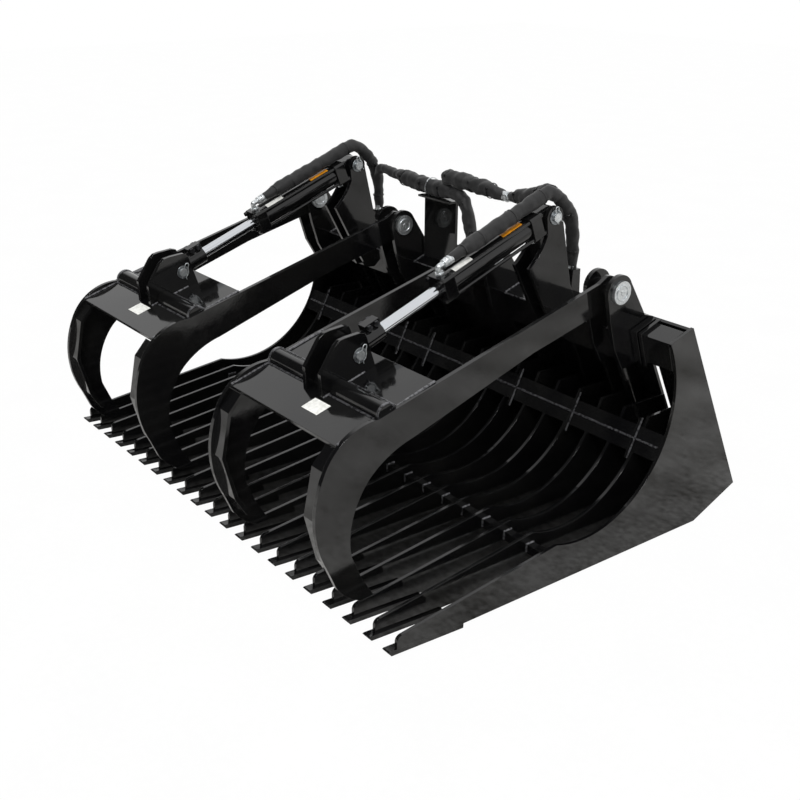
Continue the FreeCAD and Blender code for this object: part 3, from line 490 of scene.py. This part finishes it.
def bar(shape: bmesh.types.BMesh, start: Vector, end: Vector, radius: float, sides: int = 6,
        soften: float = 0.8) -> None:
    """Adds a straight bar with softened edges.

    Args:
        shape: The mesh that it is added to.
        start: One end's centre, in metres.
        end: The other end's centre, in metres.
        radius: Radius to the corners, in millimetres.
        sides: Number of sides, six for a nut.
        soften: Width of the softened edges in millimetres.
    """
    axis = end - start
    turn = Matrix.Translation((start + end) / 2) @ axis.to_track_quat("Z", "Y").to_matrix().to_4x4()
    made = bmesh.ops.create_cone(
        shape, cap_ends=True, segments=sides, radius1=radius * MM, radius2=radius * MM, depth=axis.length,
        matrix=turn)
    edges = dict.fromkeys(edge for vert in made["verts"] for edge in vert.link_edges)
    sharp = [edge for edge in edges if edge.calc_face_angle(0.0) > PRISM_EDGE]
    bmesh.ops.bevel(
        shape, geom=sharp, offset=soften * MM, segments=2, profile=0.5, affect="EDGES", material=-1,
        clamp_overlap=True)


def tube(name: str, route: list, radii: tuple | float, finish: Finish, body: str, crumple: float = 0.0,
         sides: int = 5, fine: int = 14) -> bpy.types.Object:
    """Makes a round tube along a smooth spline.

    Args:
        name: The piece's name.
        route: The spline's control points, in metres.
        radii: The radius in millimetres at each control point, or one for all.
        finish: The finish of the whole piece.
        body: The CAD body that carries it.
        crumple: How deep its creases are, in millimetres.
        sides: Roundness of its section.
        fine: Steps between two control points.

    Returns:
        The new object.
    """
    if isinstance(radii, float):
        radii = (radii,) * len(route)
    curve = bpy.data.curves.new(name, "CURVE")
    curve.dimensions = "3D"
    curve.bevel_depth = MM
    curve.bevel_resolution = sides
    curve.resolution_u = fine
    curve.use_fill_caps = True
    line = curve.splines.new("NURBS")
    line.points.add(len(route) - 1)
    for point, place, radius in zip(line.points, route, radii):
        point.co = (*place, 1.0)
        point.radius = radius
    line.order_u = 3
    line.use_endpoint_u = True
    mesh = solid_of(name, curve)
    if crumple:
        moved = [
            vert.co + vert.normal * noise.noise(vert.co / (CREASE_MM * MM)) * crumple * MM
            for vert in mesh.vertices]
        for vert, place in zip(mesh.vertices, moved):
            vert.co = place
    return placed(name, mesh, finish, body)


def solid_of(name: str, curve: bpy.types.Curve) -> bpy.types.Mesh:
    """Turns a bevelled curve into a smooth closed mesh, and removes the curve.

    Args:
        name: The mesh's name.
        curve: The curve, in the row frame, in metres.

    Returns:
        The mesh.
    """
    holder = bpy.data.objects.new(name + "_line", curve)
    bpy.context.scene.collection.objects.link(holder)
    bpy.context.view_layer.update()
    mesh = bpy.data.meshes.new_from_object(holder.evaluated_get(bpy.context.evaluated_depsgraph_get()))
    bpy.data.objects.remove(holder)
    bpy.data.curves.remove(curve)
    shape = bmesh.new()
    shape.from_mesh(mesh)
    bmesh.ops.remove_doubles(shape, verts=shape.verts, dist=CURVE_MERGE_MM * MM)
    bmesh.ops.recalc_face_normals(shape, faces=shape.faces)
    shape.to_mesh(mesh)
    shape.free()
    mesh.name = name
    mesh.shade_smooth()
    mesh.set_sharp_from_angle(angle=TUBE_EDGE)
    return mesh


def spot(x: float, y: float, z: float) -> Vector:
    """A place in metres of the row frame, from millimetres with Y measured back from the tooth tips."""
    return Vector((x, y + TEETH_Y, z)) * MM


def on_box(x: float, along: float, up: float) -> Vector:
    """A place on the torque box's tilted top.

    Args:
        x: Its X.
        along: How far it is back from the box's front edge.
        up: How far it is above the face.

    Returns:
        The place in metres of the row frame.
    """
    edge_y, edge_z = BOX_EDGE
    back, rise = math.cos(BOX_TILT), math.sin(BOX_TILT)
    return spot(x, edge_y + along * back - up * rise, edge_z + along * rise + up * back)


@dataclass(frozen=True)
class Cylinder:
    """One grapple's cylinder at rest: places are measured from its base pin along its axis and up from it."""

    side: Side

    @property
    def body(self) -> str:
        """The CAD body of the cylinder."""
        return self.side.word + "_cylinder"

    @property
    def base(self) -> Vector:
        """The middle of the base pin."""
        return joint_of(self.side.word + "_cylinder_swing")["place"]

    @property
    def along(self) -> Vector:
        """From the base pin towards the rod pin."""
        return -joint_of(self.side.word + "_rod_slide")["axis"]

    @property
    def up(self) -> Vector:
        """Square to the cylinder, away from the deck."""
        return self.along.cross(CROSSWAYS).normalized()

    def at(self, along: float, up: float) -> Vector:
        """A place in millimetres from the base pin."""
        return self.base + (self.along * along + self.up * up) * MM

    def round_pin(self, degrees: float, radius: float) -> Vector:
        """A place at a radius round the base pin, swung back from straight up."""
        swing = math.radians(degrees)
        return self.at(-radius * math.sin(swing), radius * math.cos(swing))


def joint_of(name: str) -> dict:
    """A joint's place and axis in the row frame.

    Args:
        name: The joint's name.

    Returns:
        Its "axis", and its "place" where it has one.
    """
    joint = next(j for j in frame["joints"] if j["name"] == name)
    found = {"axis": Vector(joint["axis"]).normalized()}
    if joint.get("pos_m"):
        found["place"] = Vector(joint["pos_m"])
    return found


@dataclass
class Studio:
    """Camera, lamp, floor and background, in metres."""

    eye: tuple = (2.5735, -1.9277, 1.5706)
    look: tuple = (-0.72385, 0.57183, -0.38607)
    up: tuple = (-0.30718, 0.23394, 0.92245)
    lens_mm: float = 50.115
    sensor_mm: float = 36.0
    trees_top: tuple = (0.62, 0.86)
    trees_end: tuple = (-0.1, 0.12)
    trees_light: float = 0.03
    floor_half: float = 14.0
    lamp_place: tuple = (2.2, -2.4, 4.4)
    lamp_aim: tuple = (0.0, 0.0, 0.4)
    lamp_size: float = 1.0
    lamp_watts: float = 110.0

    def camera(self) -> None:
        """Sets the camera where the photograph was taken from."""
        back = -Vector(self.look).normalized()
        up = Vector(self.up).normalized()
        right = up.cross(back).normalized()
        up = back.cross(right)
        data = bpy.data.cameras.new("photo_camera")
        data.lens = self.lens_mm
        data.sensor_width = self.sensor_mm
        data.clip_end = 60.0
        camera = bpy.data.objects.new("photo_camera", data)
        turn = Matrix((right, up, back)).transposed()
        camera.matrix_world = Matrix.Translation(Vector(self.eye)) @ turn.to_4x4()
        bpy.context.scene.collection.objects.link(camera)
        bpy.context.scene.camera = camera

    def lamp(self) -> None:
        """A soft square lamp high in front of the bucket."""
        data = bpy.data.lights.new("key_softbox", "AREA")
        data.shape = "RECTANGLE"
        data.size = data.size_y = self.lamp_size
        data.energy = self.lamp_watts
        lamp = bpy.data.objects.new("key_softbox", data)
        place = Vector(self.lamp_place)
        turn = (Vector(self.lamp_aim) - place).to_track_quat("-Z", "Y").to_matrix().to_4x4()
        lamp.matrix_world = Matrix.Translation(place) @ turn
        bpy.context.scene.collection.objects.link(lamp)

    def world(self) -> None:
        """A white sky; in reflections the horizon in front of the bucket is a dark line of trees."""
        world = bpy.data.worlds.new("studio_world")
        bpy.context.scene.world = world
        world.use_nodes = True
        tree = world.node_tree
        tree.nodes.clear()
        way = add(tree, "ShaderNodeSeparateXYZ", {0: add(tree, "ShaderNodeTexCoord").outputs["Generated"]})
        above, behind = (
            add(tree, "ShaderNodeMapRange", {"Value": way.outputs[axis], "From Min": low, "From Max": high})
            for axis, (low, high) in ((2, self.trees_top), (1, self.trees_end)))
        clear = add(tree, "ShaderNodeMath", {0: above.outputs[0], 1: behind.outputs[0]}, operation="MAXIMUM")
        mirrored = add(tree, "ShaderNodeMapRange", {"Value": clear.outputs[0], "To Min": self.trees_light})
        rays = add(tree, "ShaderNodeLightPath")
        strength = add(tree, "ShaderNodeMix", {
            0: rays.outputs["Is Glossy Ray"], 2: 1.0, 3: mirrored.outputs[0]}, data_type="FLOAT")
        sky = add(tree, "ShaderNodeBackground", {"Color": (1, 1, 1, 1), "Strength": strength.outputs[0]})
        add(tree, "ShaderNodeOutputWorld", {"Surface": sky.outputs[0]})

    def floor(self) -> None:
        """A pale floor under the bucket."""
        shape = bmesh.new()
        bmesh.ops.create_grid(shape, x_segments=1, y_segments=1, size=self.floor_half)
        bmesh.ops.translate(shape, verts=shape.verts, vec=(0, 0, CAD_BOUNDS[0].z - 0.5 * MM))
        mesh = bpy.data.meshes.new("floor")
        shape.to_mesh(mesh)
        shape.free()
        floor = bpy.data.objects.new("floor", mesh)
        bpy.context.scene.collection.objects.link(floor)
        dress(floor, Finish.FLOOR)

    def build(self) -> None:
        """Sets up the whole studio."""
        self.camera()
        self.world()
        self.floor()
        self.lamp()
        bpy.context.scene.view_settings.view_transform = "Standard"
        LOG.info("studio ready")


@dataclass
class CadFinishes:
    """Gives every node of the CAD frame its finish."""

    zinc: tuple = ("pivot_pins", "base_pins", "rod_pin_", "port_elbows_")
    blackened: tuple = ("clamp_bolts_",)
    chrome: tuple = ("piston_rod_",)
    cloth: tuple = ("hose_sleeve_", "rear_hoses")

    def build(self) -> None:
        """Dresses the nodes by name."""
        for name, node in frame["nodes"].items():
            finish = Finish.PAINT
            if name.startswith(self.zinc):
                finish = Finish.ZINC
            elif name.startswith(self.blackened):
                finish = Finish.BOLT
            elif name.startswith(self.chrome):
                finish = Finish.CHROME
            elif name.startswith(self.cloth):
                finish = Finish.SLEEVE
            dress(node, finish)
            LOG.info("node %s: %s", name, finish.value.name)


@dataclass(frozen=True)
class PinHardware:
    """Washers, hairpins and raised rings on the pins."""

    wire_mm: float = 1.5
    pin_hole: float = 12.75
    pivot_hole: float = 15.93
    washer_mm: float = 2.7
    softened: float = 0.6
    rod_pin: tuple = (190.5, 614.5)
    hairpin: tuple = (
        (0, -20), (0, 12), (0, 22), (4, 30), (13, 27), (11, 17), (16.4, 6), (16.4, -5), (10.5, -14),
        (15, -20))
    head_ring: tuple = ((53.3, 17.5), (55.2, 17.5), (55.9, 18.2), (55.9, 21.8), (55.2, 22.5), (53.3, 22.5))
    head_boss: tuple = ((53.3, 0.0), (54.2, 0.0), (54.6, 3.0), (54.6, 6.0), (53.3, 7.5))

    def washer(self, shape: bmesh.types.BMesh, centre: Vector, start: float, hole: float, rim: float) -> None:
        """A washer round a pin, with softened corners.

        Args:
            shape: The mesh that it is added to.
            centre: The middle of the pin.
            start: Its inner face, in millimetres along +X from there.
            hole: Radius of its hole.
            rim: Radius of its rim.
        """
        end = start + self.washer_mm
        soft = self.softened
        turned(shape, centre, CROSSWAYS, [
            (start, hole), (start, rim - soft), (start + soft, rim), (end - soft, rim), (end, rim - soft),
            (end, hole)])

    def clip(self, name: str, centre: Vector, offset: float, lean: float, body: str) -> None:
        """A hairpin through a pin's end.

        Args:
            name: The piece's name.
            centre: The middle of the pin.
            offset: Where the hairpin stands along +X from there, in millimetres.
            lean: How far it leans, in degrees.
            body: The CAD body that carries it.
        """
        turn = Matrix.Rotation(math.radians(lean), 3, "X")
        route = [centre + (turn @ Vector((offset, across, up))) * MM for across, up in self.hairpin]
        tube(name, route, self.wire_mm, Finish.ZINC, body, sides=3, fine=8)

    def on_pin(self, pin: str, side: Side, centre: Vector, face: float, rim: float, clip_at: float,
               leans: tuple, body: str) -> None:
        """A washer and a hairpin at each end of a pin.

        Args:
            pin: The pin's short name.
            side: The grapple that it belongs to.
            centre: The middle of the pin.
            face: How far the washers stand from there.
            rim: Radius of the washers.
            clip_at: How far the hairpins stand from there.
            leans: How far the right and the left hairpin lean, in degrees.
            body: The CAD body that carries them.
        """
        shape = bmesh.new()
        for start in (face, -face - self.washer_mm):
            self.washer(shape, centre, start, self.pin_hole, rim)
        mesh_piece("%s_washers_%s" % (pin, side.word), shape, Finish.WASHER, body)
        for end, offset, lean in zip(("right", "left"), (clip_at, -clip_at), leans):
            self.clip("%s_clip_%s_%s" % (pin, end, side.word), centre, offset, lean, body)

    def on_pivots(self, side: Side) -> None:
        """The raised heads, washers and hairpins of a grapple's two pivot pins.

        Args:
            side: The grapple.
        """
        pivot = joint_of(side.word + "_grapple_pivot")["place"]
        rings = bmesh.new()
        for place, claw in (("inner", -CLAW_X * side.sign), ("outer", CLAW_X * side.sign)):
            centre = pivot + CROSSWAYS * claw * MM
            turned(rings, centre, CROSSWAYS, self.head_ring)
            self.washer(rings, centre, -47.1, self.pivot_hole, 26.0)
            self.clip("pivot_clip_%s_%s" % (place, side.word), centre, -50.5, 30.0, "bucket")
            turned(rings, centre, CROSSWAYS, self.head_boss)
        mesh_piece("pivot_rings_" + side.word, rings, Finish.ZINC, "bucket")

    def build(self) -> None:
        """Adds the hardware of the base pins, rod pins and pivot pins."""
        for side in Side:
            base = joint_of(side.word + "_cylinder_swing")["place"]
            rod = Vector((base.x, *spot(0, *self.rod_pin).yz))
            self.on_pin("base", side, base, 35.1, 21.0, 42.0, (20.0, -35.0), "bucket")
            self.on_pin("rod", side, rod, 40.4, 20.0, 44.7, (-15.0, 40.0), side.word + "_grapple")
            self.on_pivots(side)


@dataclass(frozen=True)
class Hoses:
    """The hydraulic hoses' cloth sleeves, with their fittings, clamp and ties."""

    lift: float = 57.1
    port: float = 390.5
    cap_face: float = 35.05
    nut_end: float = 362.6
    barrel_route: tuple = (
        (2.5, 57.1), (40, 57.5), (90, 57.3), (150, 58), (210, 57.1), (262, 57.4), (292, 57.2), (312, 57.1),
        (346, 57.1))
    barrel_girth: tuple = (21.0, 21.0, 19.5, 21.0, 20.0, 21.0, 20.0, 14.5, 12.0)
    barrel_ties: tuple = ((4.0, 20.4), (118.0, 20.4), (236.0, 20.4), (300.0, 17.2))
    bend_girth: tuple = (20.0, 20.4, 19.0, 18.0)
    block_route: tuple = (HOSE_START, (934.9, 874.4), (960.0, 825.0), (971.5, 759.0), (971.5, 693.0))
    block_girth: tuple = (17.6, 19.5, 19.0, 18.0, 13.0)
    block_foot: tuple = (971.5, 693.05)
    block_nut: float = 9.0
    coupler: tuple = (198, 934, 860.6)
    clamp: tuple = (-128, 934, 832.4)
    clamp_ring: tuple = ((-2, 27.0), (-2, 29.4), (2, 29.4), (2, 27.0))

    def tie(self, shape: bmesh.types.BMesh, centre: Vector, axis: Vector, radius: float) -> None:
        """A cable tie round a sleeve, with its head on top.

        Args:
            shape: The mesh that it is added to.
            centre: The middle of the sleeve.
            axis: The way that the sleeve runs.
            radius: Radius of the sleeve there, in millimetres.
        """
        half, thick, soft = 2.4, 1.4, 0.4
        axis = axis.normalized()
        turned(shape, centre, axis, [
            (-half, radius - 1), (-half, radius + thick - 0.5), (-half + soft, radius + thick),
            (half - soft, radius + thick), (half, radius + thick - 0.5), (half, radius - 1)], steps=28)
        side = axis.cross(Vector((0.3, 0.4, 1.0))).normalized()
        bar(shape, centre + side * (radius + 0.5) * MM, centre + side * (radius + 5.5) * MM, 5.0, sides=4)

    def ferrule(self, shape: bmesh.types.BMesh, start: Vector, axis: Vector, radius: float,
                length: float) -> None:
        """A crimped collar over a hose's end.

        Args:
            shape: The mesh that it is added to.
            start: The middle of its first face, in metres.
            axis: The way that it runs.
            radius: Its outer radius, in millimetres.
            length: Its length, in millimetres.
        """
        step = length / 5
        crimp = radius - 1.2
        turned(shape, start, axis.normalized(), [
            (0, 0), (0, radius - 1), (step * 0.4, radius), (step, radius), (step * 1.3, crimp),
            (step * 1.7, crimp), (step * 2, radius), (step * 3, radius), (step * 3.3, crimp),
            (step * 3.7, crimp), (step * 4, radius), (step * 4.7, radius), (length, radius - 1), (length, 0)],
            steps=28)

    def fittings(self, cylinder: Cylinder) -> None:
        """The nuts and crimped collar of a cylinder's rod port, and the plug of its base port.

        Args:
            cylinder: The cylinder.
        """
        at = cylinder.at
        nuts = bmesh.new()
        bar(nuts, at(self.port, self.cap_face), at(self.port, 43), 13.0)
        bar(nuts, at(371, self.lift), at(self.nut_end, self.lift), 13.0)
        self.ferrule(nuts, at(self.nut_end, self.lift), -cylinder.along, 12.4, 22)
        bar(nuts, at(66.5, -self.cap_face), at(66.5, -43), 12.0)
        bar(nuts, at(66.5, -43), at(66.5, -50), 9.0, sides=24)
        mesh_piece("port_nuts_" + cylinder.side.word, nuts, Finish.ZINC, cylinder.body)

    def on_cylinder(self, cylinder: Cylinder) -> None:
        """The sleeve along the cylinder, the elbow that feeds it and the bend round the base pin.

        Args:
            cylinder: The cylinder.
        """
        word = cylinder.side.word
        at = cylinder.at
        way = [at(*place) for place in self.barrel_route]
        sleeve = tube(
            "hose_sleeve_cloth_" + word, way, self.barrel_girth, Finish.SLEEVE, cylinder.body, 3.0, 7)
        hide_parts("hose_sleeve_" + word)
        way = [at(self.port, 35), at(self.port, 44)]
        way += [at(along, self.lift) for along in (self.port, 378, 352)]
        elbow = tube("port_elbow_" + word, way, 7.8, Finish.ZINC, cylinder.body)
        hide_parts("port_elbows_" + word)
        self.fittings(cylinder)
        start = cylinder.round_pin(0.0, self.lift)
        end = spot(start.x / MM, *HOSE_START)
        way = [at(7, self.lift), start, cylinder.round_pin(30.5, 65.0), end]
        bend = tube("hose_bend_" + word, way, self.bend_girth, Finish.SLEEVE, "", 3.0, 7, 20)
        cylinder.body
        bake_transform(bend)
        ties = bmesh.new()
        for along, radius in self.barrel_ties:
            self.tie(ties, at(along, 57.2), cylinder.along, radius)
        mesh_piece("sleeve_ties_" + word, ties, Finish.PLASTIC, cylinder.body)

    def to_block(self, cylinder: Cylinder) -> bpy.types.Object:
        """The hose that drops behind the tower to its block, with its crimped end.

        Args:
            cylinder: The cylinder that it serves.

        Returns:
            The sleeved hose.
        """
        word = cylinder.side.word
        x = cylinder.base.x / MM
        way = [spot(x, *place) for place in self.block_route]
        hose = tube("block_hose_" + word, way, self.block_girth, Finish.SLEEVE, "bucket", 5.0, 7, 20)
        ties = bmesh.new()
        self.tie(ties, spot(x, 943.0, 857.5), Vector((0, 0.42, -0.9)), 18.8)
        self.tie(ties, spot(x, 969.5, 745.0), Vector((0, 0.05, -1.0)), 17.2)
        mesh_piece("block_ties_" + word, ties, Finish.PLASTIC, "bucket")
        ends = bmesh.new()
        up = Vector((0, 0, 1))
        foot = spot(x, *self.block_foot)
        top = foot + up * self.block_nut * MM
        bar(ends, foot, top, 14.0)
        self.ferrule(ends, top, up, 11.6, 30)
        mesh_piece("block_fittings_" + word, ends, Finish.ZINC, "bucket")
        return hose

    def cloth(self, name: str, way: list, girth: tuple | float, crumple: float,
              fine: int) -> bpy.types.Object:
        """A crumpled sleeve of the bucket.

        Args:
            name: The piece's name.
            way: Its route's places in millimetres.
            girth: Its radius at each place, or one for all.
            crumple: How deep its creases are.
            fine: Steps between two places.

        Returns:
            The sleeve.
        """
        return tube(name, [spot(*place) for place in way], girth, Finish.SLEEVE, "bucket", crumple, 7, fine)

    def across(self) -> list:
        """The two sleeves that cross the middle, and the hoses that leave them.

        Returns:
            The three that stand for the source's hoses.
        """
        low = [
            (-300, 938, 841.4), (-273, 934, 839.5), (-160, 934, 832.4), (-60, 934, 832.4), (-27, 934, 830.4)]
        high = [(-60, 934, 875), (-30, 934, 875.2), (70, 934, 872), (150, 934, 867), (206, 934, 860.2)]
        rise = [(232, 934, 864), (262, 932, 868), (330, 925, 887.2), (395, 911, 908), (424.0, 905, 917.2)]
        branch = [
            (-46, 934, 831), (-5, 933, 831), (36, 931, 813), (58, 930, 752), (70, 934, 690), (72, 936, 604)]
        left = [(-292, 937, 837), (-340, 942, 842), (-405, 950, 846), (-440, 955, 830), (-452, 962, 800)]
        right = [(414, 907, 914.5), (430, 914, 903), (446, 933, 881), (453, 944, 856)]
        pieces = [
            self.cloth("centre_sleeve_low", low, (18.0, 26.0, 25.0, 25.8, 20.0), 6.0, 22),
            self.cloth("centre_sleeve_high", high, (22.0, 24.6, 23.8, 24.2, 14.0), 6.0, 22),
            self.cloth("centre_sleeve_rise", rise, (13.0, 20.5, 21.6, 21.4, 18.0), 5.0, 22)]
        self.cloth("branch_sleeve", branch, (18.0, 20.6, 20.4, 19.4, 18.0, 13.0), 5.0, 18)
        self.cloth("link_sleeve_left", left, 15.5, 4.0, 16)
        self.cloth("link_sleeve_right", right, 15.5, 4.0, 16)
        ends = bmesh.new()
        tip = spot(*self.coupler)
        faces = [tip + CROSSWAYS * along * MM for along in (15, 25, 36)]
        self.ferrule(ends, tip, CROSSWAYS, 14.4, 16)
        bar(ends, faces[0], faces[1], 16.5)
        bar(ends, faces[1], faces[2], 12.5, sides=32)
        mesh_piece("coupler_middle", ends, Finish.ZINC, "bucket")
        self.middle_ties()
        loop = bmesh.new()
        turned(loop, spot(*self.clamp), CROSSWAYS, self.clamp_ring, 40)
        mesh_piece("sleeve_clamp", loop, Finish.ZINC, "bucket")
        return pieces

    def middle_ties(self) -> None:
        """The cable ties of the sleeves between the cylinders: place, way of the sleeve and its radius."""
        ties = bmesh.new()
        for place, axis, radius in (
                ((-262, 934, 838.8), (1, 0, -0.07), 24.6), ((-165, 934, 832.7), (1, 0, 0), 23.9),
                ((-74, 934, 832.4), (1, 0, 0), 24.6), ((-40, 934, 875.0), (1, 0, 0), 22.8),
                ((70, 934, 871.6), (1, 0, -0.04), 22.8), ((150, 934, 867.0), (1, 0, -0.08), 22.6),
                ((33, 931.3, 807), (0.45, 0, -1), 19.0), ((64, 932, 725), (0.15, 0, -1), 18.0),
                ((268, 931.5, 871), (0.97, -0.05, 0.2), 19.8),
                ((372, 916, 900.5), (0.93, -0.18, 0.32), 20.6)):
            self.tie(ties, spot(*place), Vector(axis), radius)
        mesh_piece("centre_ties", ties, Finish.PLASTIC, "bucket")

    def build(self) -> None:
        """Adds both cylinders' sleeves and hoses and the sleeves between them."""
        soft = self.across()
        for side in Side:
            cylinder = Cylinder(side)
            self.on_cylinder(cylinder)
            soft.append(self.to_block(cylinder))
        for piece in soft:
            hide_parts("rear_hoses")


@dataclass(frozen=True)
class Stickers:
    """Plain stickers: amber near a barrel's base, white near its rod cap, and white on each deck."""

    radius_mm: float = 30.2
    vinyl_mm: float = 0.3
    deck_size: tuple = (66.0, 44.0, 0.4)
    deck_place: tuple = (48.0, 519.4)
    deck_slope: tuple = (88.5, 292.0)
    right_shift: float = 55.0
    left_shift: float = 18.0

    def patch(self, name: str, cylinder: Cylinder, start: float, end: float, middle: float, half: float,
              finish: Finish) -> None:
        """A sticker wrapped round part of the barrel.

        Args:
            name: The piece's name.
            cylinder: The cylinder that carries it.
            start: Its edge nearer the base pin, in millimetres along the cylinder.
            end: Its other edge.
            middle: The angle of its middle from straight up towards +X, in degrees.
            half: Half the angle that it covers, in degrees.
            finish: Its finish.
        """
        shape = bmesh.new()
        angle = math.radians(middle - half)
        out = cylinder.up * math.cos(angle) + CROSSWAYS * math.sin(angle)
        low, high = self.radius_mm, self.radius_mm + self.vinyl_mm
        turned(shape, cylinder.base, cylinder.along, [(start, low), (start, high), (end, high), (end, low)],
               steps=16, turn=-math.radians(2 * half), out=out)
        mesh_piece(name, shape, finish, cylinder.body)

    def on_deck(self, side: Side) -> None:
        """A sticker flat on a grapple's deck, near its front edge.

        Args:
            side: The grapple.
        """
        shift = self.right_shift if side is Side.RIGHT else self.left_shift
        place = Matrix.Translation(spot(GRAPPLE_X * side.sign + shift, *self.deck_place))
        turn = Matrix.Rotation(math.atan2(*self.deck_slope), 4, "X")
        size = Matrix.Diagonal((*(length * MM for length in self.deck_size), 1))
        plate = bmesh.new()
        bmesh.ops.create_cube(plate, size=1.0, matrix=place @ turn @ size)
        mesh_piece("deck_sticker_" + side.word, plate, Finish.WHITE, side.word + "_grapple")

    def build(self) -> None:
        """Adds two stickers to each barrel and one to each deck."""
        for side in Side:
            cylinder = Cylinder(side)
            self.patch("amber_sticker_" + side.word, cylinder, 100, 172, 11, 15, Finish.AMBER)
            self.on_deck(side)
            self.patch("white_sticker_" + side.word, cylinder, 288, 352, 13, 17, Finish.WHITE)


@dataclass(frozen=True)
class Welds:
    """Rippled weld beads where plates meet, in paint lightened to a grey metallic as a painted highlight for
    their glints.
    """

    ripple_mm: float = 3.4
    width: float = 1724.0
    plate: float = 9.525
    gaps: int = 20
    plate_face: float = 4.76
    seam: tuple = (939.9, 278.6)
    seam_end: float = 845.0
    box_end: float = 680.0
    stub_start: float = 728.0
    tower_faces: tuple = (-35.0, -22.3, 22.3, 35.0)
    ear_faces: tuple = (-44.35, -31.65, 31.65, 44.35)
    ribs: tuple = (1.633, 3.336, 6.136, 8.866)
    rib_line: tuple = ((911.6, 226.0), (966.0, 333.5))
    bar_corner: tuple = ((522.6, 70), (522.6, 93.2), (549, 93.2))
    deck: tuple = ((-20.0, 498.5), (272.0, 587.0))
    deck_side: tuple = ((-18, 500.5), (270, 587.5))
    claw_half: float = 6.35
    lug_x: float = 34.0
    lug_line: tuple = (78, 205)
    tube_y: float = 125.0
    tube_ring: float = 27.2
    tube_seam: float = 30.5

    def beads(self, name: str, runs: list, body: str) -> None:
        """Makes one piece of many beads.

        Args:
            name: The piece's name.
            runs: Pairs of a list of places in metres and a radius in millimetres.
            body: The CAD body that carries them.
        """
        curve = bpy.data.curves.new(name, "CURVE")
        curve.dimensions = "3D"
        curve.bevel_depth = MM
        curve.bevel_resolution = 1
        curve.use_fill_caps = True
        for places, radius in runs:
            points = [places[0]]
            for start, end in zip(places, places[1:]):
                count = max(1, round((end - start).length / (self.ripple_mm * MM)))
                points += [start.lerp(end, step / count) for step in range(1, count + 1)]
            line = curve.splines.new("POLY")
            line.points.add(len(points) - 1)
            for number, (point, place) in enumerate(zip(line.points, points)):
                point.co = (*place, 1.0)
                point.radius = radius * (1.0 if number % 2 else 0.8)
        # The beads' finish is lightened: a painted highlight for the glints on them.
        placed(name, solid_of(name, curve), Finish.WELD, body)

    def on_bucket(self) -> None:
        """Beads of the bucket: the strip's seam, the box's front edge, the plates on it and the bars."""
        runs = [
            ([spot(-self.seam_end, *self.seam), spot(self.seam_end, *self.seam)], 3.8),
            ([on_box(-self.box_end, 0, 0), on_box(self.box_end, 0, 0)], 2.6)]
        for sign in (-1, 1):
            for face in self.tower_faces:
                x = sign * GRAPPLE_X + face
                runs.append(([on_box(x, 2, 0.5), on_box(x, 56, 0.5)], 4.0))
            for claw in (-CLAW_X, CLAW_X):
                for face in self.ear_faces:
                    x = sign * GRAPPLE_X + claw + face
                    if abs(x) < self.stub_start:
                        runs.append(([on_box(x, 2, 0.5), on_box(x, 72, 0.5)], 4.0))
        pitch = (self.width - self.plate) / self.gaps
        for rib in self.ribs:
            for x in (rib * pitch + self.plate_face, -rib * pitch + self.plate_face):
                runs.append(([spot(x, *place) for place in self.rib_line], 3.0))
        for number in range(-9, 10):
            for face in (-self.plate_face, self.plate_face):
                runs.append(([spot(number * pitch + face, *place) for place in self.bar_corner], 4.2))
        self.beads("bucket_welds", runs, "bucket")

    def on_deck(self, x: float, y: float, lift: float) -> Vector:
        """A place on a grapple's sloping deck.

        Args:
            x: Its X.
            y: Its Y, back from the tooth tips.
            lift: How far it is above the deck.

        Returns:
            The place in metres of the row frame.
        """
        (front_y, front_z), (rear_y, rear_z) = self.deck
        slope = (rear_z - front_z) / (rear_y - front_y)
        return spot(x, y, front_z + (y - front_y) * slope + lift)

    def on_grapple(self, side: Side) -> None:
        """Beads of a grapple: round the cross tube, along the deck and round the lugs.

        Args:
            side: The grapple.
        """
        middle = GRAPPLE_X * side.sign
        runs = []
        for sign in (-1, 1):
            x = middle + sign * (CLAW_X - self.claw_half)
            centre = self.on_deck(x, self.tube_y, -2.0)
            turns = [math.radians(step) for step in range(0, 361, 12)]
            ring = [
                centre + Vector((0, math.cos(turn), math.sin(turn))) * self.tube_ring * MM for turn in turns]
            runs.append((ring, 4.0))
            runs.append(([spot(x, *place) for place in self.deck_side], 4.0))
            x = middle + sign * (self.lug_x + self.claw_half)
            runs.append(([self.on_deck(x, y, 0.6) for y in self.lug_line], 3.6))
        for y in (self.tube_y - self.tube_seam, self.tube_y + self.tube_seam):
            for sign in (-1, 1):
                ends = (middle + sign * (CLAW_X - 7), middle + sign * 44)
                runs.append(([self.on_deck(x, y, 0.5) for x in ends], 3.4))
        self.beads("grapple_welds_" + side.word, runs, side.word + "_grapple")

    def build(self) -> None:
        """Adds all the beads."""
        self.on_bucket()
        for side in Side:
            self.on_grapple(side)


def main() -> None:
    """Builds the studio and the object's classes in order."""
    Studio().build()
    CadFinishes().build()
    Hoses().build()
    PinHardware().build()
    Stickers().build()
    Welds().build()


if __name__ == "__main__":
    logging.basicConfig(level=logging.INFO, format="%(message)s")
    main()
